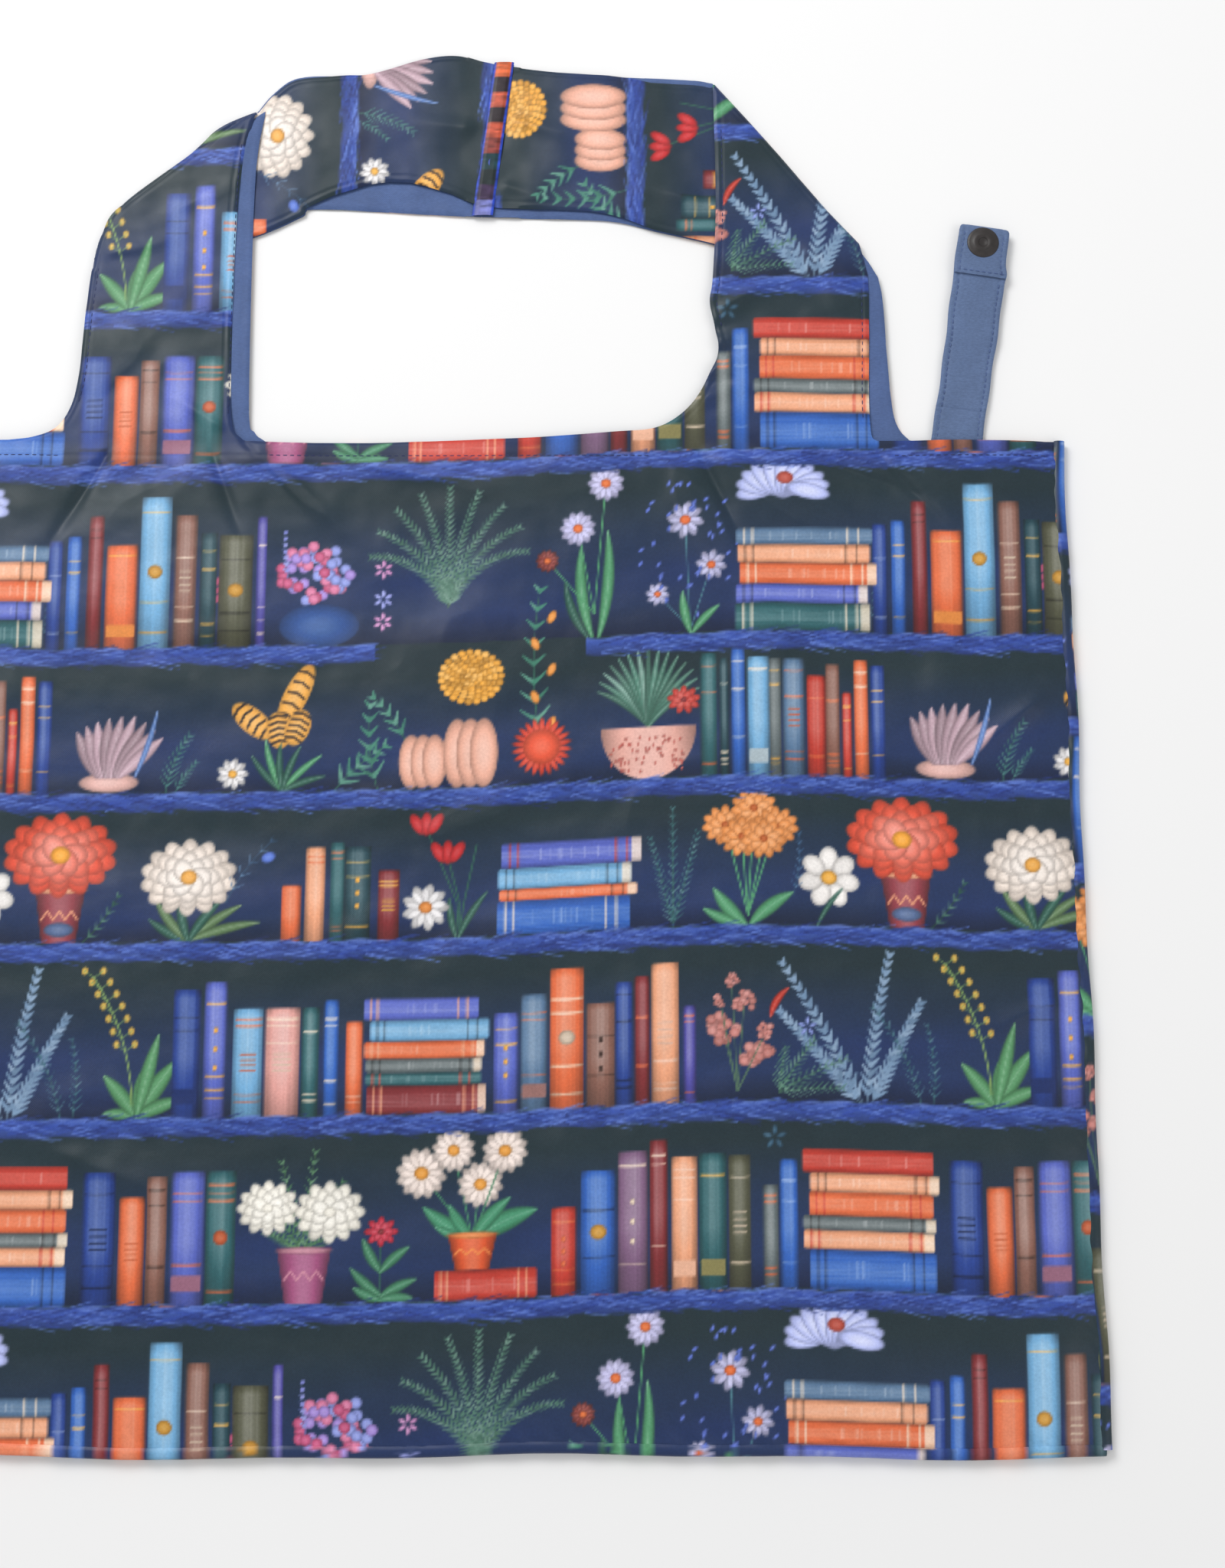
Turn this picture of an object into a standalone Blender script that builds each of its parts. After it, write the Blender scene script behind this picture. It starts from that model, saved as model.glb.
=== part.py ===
"""Foldable shopping tote lying flat and face up: two cloth panels, a pair of loop handles and a snap tab.

Metres, +Z up. X runs across the bag, Y from its bottom edge to its handles. The origin lies under the
middle of the whole outline. The cloth is one sheet on the real bag; here it is cut along the lines where
it folds, and each run between two folds is its own plate.
"""

import math

import bmesh
import bpy

# ---- driving dimensions ----
HALF_WIDTH = 0.2525  # half the bag's width
HEIGHT = 0.425  # bottom edge to mouth
CROWN_PEAK = 0.1805  # mouth to the highest point of the handles
THICKNESS = 0.0064  # empty bag lying flat, outside to outside
WALL = 0.001  # a panel with its lining air
WEB = 0.0006  # a ply of handle or tab
GAP = 0.0003  # between neighbouring plies

LOWER_FOLD = 0.075  # fold lines, up from the bottom edge
MIDDLE_FOLD = 0.240
SEAM_WIDTH = 0.004  # side and bottom seams
HEM_HEIGHT = 0.008  # turned edge of the mouth
BACK_STRAP_SHIFT = 0.007  # the back handle lies this far to the right of the front one

# ---- heights above the surface the bag lies on ----
FRONT_CROWN_Z = 0.0008
BACK_CROWN_Z = FRONT_CROWN_Z + WEB + GAP
BACK_STRAP_Z = BACK_CROWN_Z + WEB + GAP
FRONT_STRAP_Z = BACK_STRAP_Z + WEB + GAP
FRONT_BAND_Z = 0.0
BAND_THICKNESS = 0.0005

# ---- snap tab ----
TAB_WIDTH = 0.0215
TAB_LENGTH = 0.0985
TAB_BASE_X = 0.2036  # middle of the tab where it leaves the mouth
TAB_LEAN = math.radians(8.8)  # the tab leans to the right
TAB_Z = 0.0013
TAB_HINGE = 0.001  # past the mouth line
TAB_WRAP = 0.0268  # from the tab's hinge to its bend
TAB_OVERFOLD = 0.0205  # turned-over end
TAB_ANCHOR = 0.016  # sewn into the mouth
SNAP_ALONG = 0.0918  # mouth to the snap's centre, along the tab
SNAP_RADIUS = 0.0067
SNAP_HOLE_RADIUS = 0.0071

BOTTOM_Y = -(HEIGHT + CROWN_PEAK) / 2
MOUTH_Y = BOTTOM_Y + HEIGHT
ROWS = {
    "lower": (SEAM_WIDTH, LOWER_FOLD),
    "middle": (LOWER_FOLD, MIDDLE_FOLD),
    "upper": (MIDDLE_FOLD, HEIGHT),
}

# Left and right limits of the strap feet at the mouth line, corner fillets included.
STRAP_FEET = ((-0.2, -0.092), (0.055, 0.173))


# ---- materials ----
def cloth(name, colour, roughness=0.75):
    material = bpy.data.materials.new(name)
    material.use_nodes = True
    shader = material.node_tree.nodes["Principled BSDF"]
    shader.inputs["Base Color"].default_value = (*colour, 1.0)
    shader.inputs["Roughness"].default_value = roughness
    shader.inputs["Metallic"].default_value = 0.0
    return material


PRINT = (0.035, 0.052, 0.085)
BLUE = (0.095, 0.150, 0.300)
SNAP = (0.020, 0.017, 0.016)


# ---- modelling helpers ----
def finish(obj, colour, roughness=0.75):
    """Names the material after the piece, and puts the piece in the tote's collection."""
    obj.data.materials.clear()
    obj.data.materials.append(cloth(obj.name + "_material", colour, roughness))
    for collection in list(obj.users_collection):
        collection.objects.unlink(obj)
    tote.objects.link(obj)
    return obj


def plate(name, outline, low_z, thickness, colour, holes=()):
    """A flat ply: a filled 2D outline, in bag coordinates (Y from the bottom edge), lifted to low_z."""
    curve = bpy.data.curves.new(name, "CURVE")
    curve.dimensions = "2D"
    curve.fill_mode = "BOTH"
    curve.extrude = thickness / 2
    for loop in (outline, *holes):
        spline = curve.splines.new("POLY")
        spline.points.add(len(loop) - 1)
        for point, (x, y) in zip(spline.points, loop):
            point.co = (x, y, 0.0, 1.0)
        spline.use_cyclic_u = True
    obj = bpy.data.objects.new(name, curve)
    obj.location = (0.0, BOTTOM_Y, low_z + thickness / 2)
    tote.objects.link(obj)
    return finish(obj, colour)


def bar(name, low, high, colour, rounding=0.0008):
    """A rounded bar between two corners, in bag coordinates: a seam with its turned-in cloth."""
    mesh = bpy.data.meshes.new(name)
    shape = bmesh.new()
    bmesh.ops.create_cube(shape, size=1.0)
    size = [b - a for a, b in zip(low, high)]
    bmesh.ops.scale(shape, vec=size, verts=shape.verts)
    shape.to_mesh(mesh)
    shape.free()
    obj = bpy.data.objects.new(name, mesh)
    centre = [(a + b) / 2 for a, b in zip(low, high)]
    obj.location = (centre[0], centre[1] + BOTTOM_Y, centre[2])
    tote.objects.link(obj)
    bevel = obj.modifiers.new("rounding", "BEVEL")
    bevel.width = rounding
    bevel.segments = 2
    return finish(obj, colour)


def turned(name, profile, x, y, z, colour, roughness=0.4):
    """A round snap part: a profile of (radius, height) points, outer side first, turned about Z."""
    mesh = bpy.data.meshes.new(name)
    points = [(radius, 0.0, height) for radius, height in profile]
    mesh.from_pydata(points, [(i, i + 1) for i in range(len(points) - 1)], [])
    obj = bpy.data.objects.new(name, mesh)
    obj.location = (x, BOTTOM_Y + y, z)
    tote.objects.link(obj)
    screw = obj.modifiers.new("turn", "SCREW")
    screw.steps = screw.render_steps = 32
    screw.use_merge_vertices = True
    screw.merge_threshold = 0.00001
    screw.use_smooth_shade = True
    return finish(obj, colour, roughness)


def rectangle(x0, x1, y0, y1):
    return [(x0, y0), (x1, y0), (x1, y1), (x0, y1)]


def quarter(centre, radius_x, radius_y, start, steps=6):
    """Points of a quarter ellipse, from the angle start, clockwise when steps is negative."""
    turn = math.copysign(math.pi / 2, steps)
    count = abs(steps)
    return [
        (
            centre[0] + radius_x * math.cos(start + turn * i / count),
            centre[1] + radius_y * math.sin(start + turn * i / count),
        )
        for i in range(count + 1)
    ]


def circle(x, y, radius, steps=32):
    turns = [2 * math.pi * i / steps for i in range(steps)]
    return [(x + radius * math.cos(a), y + radius * math.sin(a)) for a in turns]


# ---- body of the bag ----
def panel_outline(row, low, high, shift):
    """A panel between two folds. The top one is notched where the mouth's hems lie between the straps."""
    edge = HALF_WIDTH - SEAM_WIDTH - GAP
    low += GAP
    high -= GAP
    if row != "upper":
        return rectangle(-edge, edge, low, high)
    notch = HEIGHT - HEM_HEIGHT - GAP
    outline = [(-edge, low), (edge, low), (edge, notch)]
    for left, right in reversed(STRAP_FEET):
        corners = ((right, notch), (right, high), (left, high), (left, notch))
        outline += [(x + shift, y) for x, y in corners]
    return outline + [(-edge, notch)]


def snap_place():
    """Where the tab's snap lies on the tab, and where the tab brings it on the folded bag's back."""
    x = TAB_BASE_X + SNAP_ALONG * math.sin(TAB_LEAN)
    y = HEIGHT + SNAP_ALONG * math.cos(TAB_LEAN)
    over = (y - HEIGHT - TAB_HINGE) - TAB_WRAP
    landing = HEIGHT + TAB_HINGE - over
    return x, y, 2 * MIDDLE_FOLD - landing


def build_panels():
    snap_x, _, stud_y = snap_place()
    for row, (low, high) in ROWS.items():
        holes = [circle(snap_x, stud_y, SNAP_HOLE_RADIUS)] if row == "middle" else []
        front = panel_outline(row, low, high, 0.0)
        back = panel_outline(row, low, high, BACK_STRAP_SHIFT)
        plate(f"front_panel_{row}", front, THICKNESS - WALL, WALL, PRINT)
        plate(f"back_panel_{row}", back, 0.0, WALL, PRINT, holes)


def build_seams():
    inner = HALF_WIDTH - SEAM_WIDTH
    for row, (low, high) in ROWS.items():
        foot = GAP if row == "lower" else low + GAP
        for side, x0, x1 in (("left", -HALF_WIDTH, -inner), ("right", inner, HALF_WIDTH)):
            bar(f"{side}_side_seam_{row}", (x0, foot, 0.0), (x1, high - GAP, THICKNESS), PRINT)
    reach = inner - GAP
    bar("bottom_seam", (-reach, 0.0, 0.0), (reach, SEAM_WIDTH, THICKNESS), PRINT)


def build_mouth_hems():
    edge = HALF_WIDTH - SEAM_WIDTH - GAP
    (left_in, left_out), (right_in, right_out) = STRAP_FEET
    for face, low_z, shift in (("front", THICKNESS - WALL, 0.0), ("back", 0.0, BACK_STRAP_SHIFT)):
        spans = {
            "left": (-edge, left_in - GAP + shift),
            "centre": (left_out + GAP + shift, right_in - GAP + shift),
            "right": (right_out + GAP + shift, edge),
        }
        for place, (x0, x1) in spans.items():
            outline = rectangle(x0, x1, HEIGHT - HEM_HEIGHT, HEIGHT - GAP)
            plate(f"{face}_mouth_hem_{place}", outline, low_z, WALL, PRINT)


# ---- handles ----
# The handles fold backwards along a diagonal at each top corner, from the strap's outer edge up to
# its inner one. Points are (x, up from the mouth).
LEFT_DIAGONAL = [(-0.1735, 0.080), (-0.162, 0.1093), (-0.132, 0.1345), (-0.1045, 0.1535)]
RIGHT_DIAGONAL = [(0.0995, 0.1678), (0.125, 0.1371), (0.150, 0.1064), (0.166, 0.086)]
CROWN_TOP_LEFT = [(-0.086, 0.1702), (-0.052, 0.1722), (-0.0146, CROWN_PEAK)]
CROWN_TOP_RIGHT = [(0.036, 0.1722), (0.087, 0.1697)]
CROWN_FOOT_LEFT = [(-0.074, 0.1080), (-0.102, 0.0955), (-0.140, 0.083)]
CROWN_FOOT_RIGHT = [(0.145, 0.080), (0.099, 0.0918), (0.0755, 0.0975), (0.042, 0.1032)]
CENTRE_SEAM_X = 0.002
CENTRE_TOP = 0.1772
CENTRE_FOOT = 0.1046


def raised(points, shift=0.0):
    """Mouth coordinates to bag coordinates, moved sideways by shift."""
    return [(x + shift, y + HEIGHT) for x, y in points]


def left_strap(shift):
    """Left strap from its flared foot to the diagonal: a tall fillet outside and a round one inside."""
    foot = [(-0.2, GAP), (-0.092, GAP)]
    inside = quarter((-0.092, 0.017), 0.017, 0.017 - GAP, -math.pi / 2, -6)
    diagonal = [*reversed(LEFT_DIAGONAL)]
    outside = quarter((-0.2, 0.046), 0.0255, 0.046 - GAP, 0.0, -6)
    return raised([*foot, *inside[1:], *diagonal, *outside[:-1]], shift)


def right_strap(shift):
    """Right strap: a long puckered fillet inside and a small one outside."""
    foot = [(0.055, GAP), (0.173, GAP)]
    outside = quarter((0.173, 0.012), 0.005, 0.012 - GAP, -math.pi / 2, -3)
    diagonal = [*reversed(RIGHT_DIAGONAL)]
    inside = quarter((0.055, 0.035), 0.045, 0.035 - GAP, 0.0, -6)
    return raised([*foot, *outside[1:], *diagonal, *inside[:-1]], shift)


def crown(side, inset):
    """Half of the handles' top, between a diagonal and the centre seam. inset draws the diagonal in."""
    half_gap = GAP / 2
    if side == "left":
        seam = CENTRE_SEAM_X - half_gap
        diagonal = [(x + inset, y) for x, y in LEFT_DIAGONAL]
        points = diagonal + CROWN_TOP_LEFT + [(seam, CENTRE_TOP), (seam, CENTRE_FOOT)] + CROWN_FOOT_LEFT
    else:
        seam = CENTRE_SEAM_X + half_gap
        diagonal = [(x - inset, y) for x, y in RIGHT_DIAGONAL]
        points = CROWN_TOP_RIGHT + diagonal + CROWN_FOOT_RIGHT + [(seam, CENTRE_FOOT), (seam, CENTRE_TOP)]
    return raised(points)


def build_handles():
    layers = (
        ("front", 0.0, 0.0, FRONT_STRAP_Z, FRONT_CROWN_Z, FRONT_BAND_Z),
        ("back", BACK_STRAP_SHIFT, 0.001, BACK_STRAP_Z, BACK_CROWN_Z, BACK_CROWN_Z + WEB + GAP),
    )
    for face, shift, inset, strap_z, crown_z, band_z in layers:
        plate(f"{face}_handle_left_strap", left_strap(shift), strap_z, WEB, PRINT)
        plate(f"{face}_handle_right_strap", right_strap(shift), strap_z, WEB, PRINT)
        plate(f"{face}_handle_left_crown", crown("left", inset), crown_z, WEB, PRINT)
        plate(f"{face}_handle_right_crown", crown("right", inset), crown_z, WEB, PRINT)
        lean = 0.004
        low, high = CENTRE_FOOT + 0.0005, CENTRE_TOP - 0.0005
        half = 0.0045
        band = [
            (CENTRE_SEAM_X - lean - half, low),
            (CENTRE_SEAM_X - lean + half, low),
            (CENTRE_SEAM_X + lean + half, high),
            (CENTRE_SEAM_X + lean - half, high),
        ]
        plate(f"{face}_handle_seam_band", raised(band), band_z, BAND_THICKNESS, PRINT)


# ---- snap tab ----
def tab_point(along, across):
    """A point of the tab: along from the mouth up its middle line, across to the right of it."""
    x = TAB_BASE_X + along * math.sin(TAB_LEAN) + across * math.cos(TAB_LEAN)
    y = HEIGHT + along * math.cos(TAB_LEAN) - across * math.sin(TAB_LEAN)
    return x, y


def tab_run(low_y, high_y):
    """The tab between two heights above the mouth, cut square to the bag so that it can bend there."""
    slope, half = math.tan(TAB_LEAN), TAB_WIDTH / 2 / math.cos(TAB_LEAN)
    corners = ((-half, low_y), (half, low_y), (half, high_y), (-half, high_y))
    return [(TAB_BASE_X + side + up * slope, HEIGHT + up) for side, up in corners]


def tab_end(start_across_y):
    """The tab from a square cut to its end, whose corners are slightly rounded."""
    left, right = tab_run(start_across_y, start_across_y + GAP)[:2]
    nick = 0.002
    half = TAB_WIDTH / 2
    tip = [
        tab_point(TAB_LENGTH - nick, half),
        tab_point(TAB_LENGTH, half - nick),
        tab_point(TAB_LENGTH, nick - half),
        tab_point(TAB_LENGTH - nick, -half),
    ]
    return [left, right, *tip]


def build_tab():
    bend = TAB_HINGE + TAB_WRAP
    plate("tab_anchor", tab_run(-TAB_ANCHOR, TAB_HINGE - GAP), TAB_Z, WEB, BLUE)
    plate("tab_lower", tab_run(TAB_HINGE + GAP, bend - GAP), TAB_Z, WEB, BLUE)
    plate("tab_upper", tab_end(bend + GAP), TAB_Z, WEB, BLUE)
    half = TAB_WIDTH / 2 - GAP
    start, end = TAB_LENGTH - TAB_OVERFOLD, TAB_LENGTH - GAP
    corners = ((start, -half), (start, half), (end - 0.002, half), (end, half - 0.002))
    outline = [tab_point(*c) for c in (*corners, (end, 0.002 - half), (end - 0.002, -half))]
    plate("tab_end_overfold", outline, TAB_Z + WEB + GAP, WEB, BLUE)


def build_snap():
    """Two halves: the socket with its cap on the tab's end, the stud with its cap on the back panel."""
    x, y, stud_y = snap_place()
    face = TAB_Z + 2 * (WEB + GAP)
    rim, recess = SNAP_RADIUS, 0.0021
    socket = [(0.0, 0.0005), (recess, 0.0005), (recess, 0.0014), (rim - 0.0016, 0.0015), (rim, 0.0008)]
    turned("snap_socket", [*socket, (rim, 0.0), (0.0, 0.0)], x, y, face, SNAP)
    cap = [(0.0, 0.001), (rim - 0.001, 0.001), (rim, 0.0006), (rim - 0.0004, 0.0), (0.0, 0.0)]
    turned("snap_socket_cap", cap, x, y, 0.0, SNAP)
    post, flange = 0.0019, 0.0012
    stud = [(0.0, 0.0022), (rim, 0.0022), (rim, flange), (post, flange), (post, 0.0), (0.0, 0.0)]
    turned("snap_stud", stud, x, stud_y, 0.0, SNAP)
    turned("snap_stud_cap", cap, x, stud_y, 0.0022 + GAP, SNAP)


for leftover in list(bpy.data.objects):
    bpy.data.objects.remove(leftover)
tote = bpy.data.collections.new("foldable_tote_bag")
bpy.context.scene.collection.children.link(tote)

build_panels()
build_seams()
build_mouth_hems()
build_handles()
build_tab()
build_snap()
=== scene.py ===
"""The looks of the foldable tote bag: printed cloth, plain lining, stitching, the snap tab and the studio,
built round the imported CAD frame. Lengths are metres unless a name says otherwise."""

import math

import bmesh
import bpy
import numpy as np
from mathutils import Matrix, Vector


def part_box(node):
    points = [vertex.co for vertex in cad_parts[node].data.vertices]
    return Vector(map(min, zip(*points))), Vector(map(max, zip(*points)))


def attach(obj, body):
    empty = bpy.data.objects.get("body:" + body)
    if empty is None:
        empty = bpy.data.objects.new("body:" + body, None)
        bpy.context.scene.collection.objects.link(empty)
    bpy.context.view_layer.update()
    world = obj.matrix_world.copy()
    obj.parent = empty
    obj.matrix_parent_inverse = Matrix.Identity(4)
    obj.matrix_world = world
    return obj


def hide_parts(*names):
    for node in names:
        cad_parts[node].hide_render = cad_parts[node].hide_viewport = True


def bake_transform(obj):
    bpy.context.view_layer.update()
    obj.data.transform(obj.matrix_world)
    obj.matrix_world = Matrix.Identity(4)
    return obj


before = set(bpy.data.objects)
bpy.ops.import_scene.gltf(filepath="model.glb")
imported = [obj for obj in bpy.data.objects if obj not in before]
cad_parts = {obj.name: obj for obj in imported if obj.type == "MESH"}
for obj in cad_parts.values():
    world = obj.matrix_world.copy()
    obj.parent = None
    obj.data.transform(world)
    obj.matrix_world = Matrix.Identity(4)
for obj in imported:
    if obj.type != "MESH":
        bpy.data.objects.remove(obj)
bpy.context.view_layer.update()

# ---------------------------------------------------------------- the print
# A generic library pattern, drawn here once as a swatch that repeats across the cloth:
# shelves, rows of books, stacks, pots and flowers. Swatch units are centimetres; across runs
# to the right and depth runs down from the mouth.
REPEAT_ACROSS = 35.2
REPEAT_DEPTH = 35.32
REPEAT_STEP = 1.6  # each repeat downwards starts this much further right
RES = 0.04
SWATCH_W = int(round(REPEAT_ACROSS / RES))
SWATCH_H = int(round(REPEAT_DEPTH / RES))
FIRST_SHELF = 1.28
SHELVES = {1: 9.35, 2: 15.6, 3: 21.9, 4: 29.1, 5: FIRST_SHELF + REPEAT_DEPTH}
SHELF_THICK = 0.82
SHELF_GAP = (-4.6, 4.4)  # the second shelf stops for the fern
rng = np.random.default_rng(11)


def hue(code):
    """A colour from its hexadecimal sRGB code."""
    return np.array([int(code[i : i + 2], 16) / 255 for i in (0, 2, 4)])


INK = {
    "db": "25408c", "bl": "2f5fb4", "lb": "6fa6cf", "vb": "5563bb", "gb": "557394", "te": "2a5a60",
    "dt": "20404a", "or": "dd6a40", "pe": "e7a07a", "re": "bd3a2e", "dr": "7c2b2f", "br": "855c50",
    "ol": "50513f", "gr": "606a6c", "mv": "7c5c7c", "pk": "dc9e96", "pu": "4c489a",
}
INK = {name: hue(code) for name, code in INK.items()}
CREAM, WHITE, GOLD = hue("f0d9c0"), hue("ece9ea"), hue("e9ab46")
LEAF, DARK_LEAF, BLUE_LEAF, OLIVE_LEAF = hue("4f9468"), hue("2c5a4c"), hue("4a7a88"), hue("5c7a52")

swatch = np.zeros((SWATCH_H, SWATCH_W, 3))


def window(u0, u1, v0, v1):
    """Index and coordinates of a part of the swatch, wrapping round its edges."""
    columns = np.arange(math.floor(u0 / RES) - 1, math.ceil(u1 / RES) + 2)
    lines = np.arange(math.floor(v0 / RES) - 1, math.ceil(v1 / RES) + 2)
    u, v = np.meshgrid(columns * RES, lines * RES)
    return np.ix_(lines % SWATCH_H, columns % SWATCH_W), u, v


def lay(index, alpha, ink):
    """Paints the ink over this part of the swatch, as densely as alpha says."""
    alpha = np.clip(alpha, 0, 1)[..., None]
    swatch[index] = swatch[index] * (1 - alpha) + ink * alpha


def soft(distance, blur=0.05):
    """Cover from a signed distance, negative inside."""
    return np.clip(0.5 - distance / blur, 0, 1)


def box_shape(u, v, u0, u1, v0, v1, corner=0.06):
    """Signed distance to a rectangle with rounded corners."""
    du = np.abs(u - (u0 + u1) / 2) - (u1 - u0) / 2 + corner
    dv = np.abs(v - (v0 + v1) / 2) - (v1 - v0) / 2 + corner
    return np.hypot(np.maximum(du, 0), np.maximum(dv, 0)) + np.minimum(np.maximum(du, dv), 0) - corner


def shade_ink(ink, light):
    """The ink darker where light is under 1 and paler where it is over 1."""
    light = np.asarray(light)[..., None]
    return np.clip(np.where(light < 1, ink * light, ink + (1 - ink) * (light - 1)), 0, 1)


def blob(u, v, ru, rv, turn, ink, rim=0.72, centre=1.12, blur=0.05):
    """A shaded ellipse. turn is in degrees, from upright to the right."""
    reach = max(ru, rv) + blur
    index, uu, vv = window(u - reach, u + reach, v - reach, v + reach)
    c, s = math.cos(math.radians(turn)), math.sin(math.radians(turn))
    a, b = (uu - u) * c + (vv - v) * s, -(uu - u) * s + (vv - v) * c
    far = np.hypot(a / ru, b / rv)
    lay(index, soft((far - 1) * min(ru, rv), blur), shade_ink(ink, centre + (rim - centre) * far**2))


def stroke(points, width, ink, end_width=None, blur=0.05):
    """A brush line through the points, tapering to end_width. width may also be a list, one for each
    point."""
    p = np.array(points, float)
    if np.ndim(width) == 0:
        width = np.linspace(width, width if end_width is None else end_width, len(p))
    low, high = p.min(0) - max(width) - blur, p.max(0) + max(width) + blur
    index, u, v = window(low[0], high[0], low[1], high[1])
    best = np.full(u.shape, 9.0)
    for i in range(len(p) - 1):
        a, b = p[i], p[i + 1]
        d = b - a
        t = np.clip(((u - a[0]) * d[0] + (v - a[1]) * d[1]) / max(d @ d, 1e-9), 0, 1)
        half = (width[i] * (1 - t) + width[i + 1] * t) / 2
        best = np.minimum(best, np.hypot(u - a[0] - t * d[0], v - a[1] - t * d[1]) - half)
    lay(index, soft(best, blur), ink)


def arc(u, v, length, turn, bend, n=9):
    """Points of a stem from (u, v), starting at turn degrees from upright and bending on."""
    points, step = [(u, v)], length / n
    for i in range(n):
        a = math.radians(turn + bend * i / n)
        u, v = u + step * math.sin(a), v - step * math.cos(a)
        points.append((u, v))
    return points


def leaf(u, v, length, turn, width, ink, bend=20):
    """A bent leaf in three tones with a pale rib."""
    line = arc(u, v, length, turn, bend, 14)
    t = np.linspace(0, 1, len(line))
    for share, light in ((1.0, 0.72), (0.78, 0.9), (0.48, 1.05)):
        stroke(line, width * share * np.sin(math.pi * np.minimum(0.985, t * 0.92 + 0.06)) ** 0.8,
            shade_ink(ink, light), blur=0.09)
    stroke(line, 0.035, shade_ink(ink, 1.25))


def sprig(u, v, length, turn, bend, ink, pairs=8, leaf_length=0.45, leaf_width=0.1, spread=45):
    line = arc(u, v, length, turn, bend, pairs + 1)
    stroke(line, 0.06, shade_ink(ink, 0.75), 0.03)
    for i, (a, b) in enumerate(line[1:]):
        away = turn + bend * i / pairs
        size = leaf_length * (1 - 0.55 * i / pairs)
        for side in (-1, 1):
            end = arc(a, b, size, away + side * spread, -side * 15, 2)
            stroke(end, leaf_width, shade_ink(ink, 0.9 + 0.3 * rng.random()), leaf_width * 0.3)


def fern(u, v, length, fronds, spread, ink):
    for turn in np.linspace(-spread, spread, fronds):
        size = length * (0.78 + 0.22 * math.cos(math.radians(turn * 1.2)))
        sprig(u, v, size, turn * 0.32, turn * 1.15, ink, 20, 0.46, 0.11, 48)


def petals(u, v, radius, count, ink, width=0.34, inner=0.2, start=0.0, rim=0.75):
    for i in range(count):
        a = start + 2 * math.pi * i / count
        at = radius * (inner + 1) / 2
        blob(u + at * math.sin(a), v - at * math.cos(a), radius * width / 2, radius * (1 - inner) / 2,
             math.degrees(a), shade_ink(ink, 0.92 + 0.16 * rng.random()), rim, 1.1)


def daisy(u, v, radius, ink=WHITE, heart=hue("dc7a35"), count=11):
    petals(u, v, radius, count, shade_ink(ink, 0.82), 0.42, start=0.2)
    petals(u, v, radius * 0.86, count, ink, 0.36)
    blob(u, v, radius * 0.28, radius * 0.25, 0, heart)


def bloom(u, v, radius, ink, heart, rings=4, count=12, squash=0.8):
    """A full flower of several rings of petals."""
    for ring in range(rings):
        share = 1 - ring / (rings + 0.6)
        for i in range(max(6, int(count * share + 2))):
            a = 2 * math.pi * (i + 0.5 * (ring % 2)) / max(6, int(count * share + 2))
            at = radius * share * 0.72
            blob(u + at * math.sin(a), v - at * math.cos(a) * squash, radius * 0.24,
                radius * 0.40 * (0.6 + share / 2),
                 math.degrees(a), shade_ink(ink, 0.92 + 0.10 * ring + 0.12 * rng.random()), 0.72, 1.15)
    blob(u, v, radius * 0.2, radius * 0.18, 0, heart)


def pot(u, base, width, height, ink, trim):
    """A pot that widens upwards, with a rim and a zigzag."""
    index, uu, vv = window(u - width, u + width, base - height, base)
    t = (base - vv) / height
    half = width / 2 * (0.68 + 0.32 * np.clip(t, 0, 1))
    light = 1.15 - 0.55 * np.abs((uu - u) / half) ** 2
    cover = np.minimum(soft(np.abs(uu - u) - half), soft(np.abs(t - 0.5) * height - height / 2))
    lay(index, cover, shade_ink(ink, light))
    blob(u, base - height * 0.95, width / 2, 0.13, 0, shade_ink(trim, 0.95))
    zigzag = [(u - width * 0.36 + width * 0.12 * i, base - height * (0.42 + 0.16 * (i % 2)))
        for i in range(7)]
    stroke(zigzag, 0.07, trim)


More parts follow.
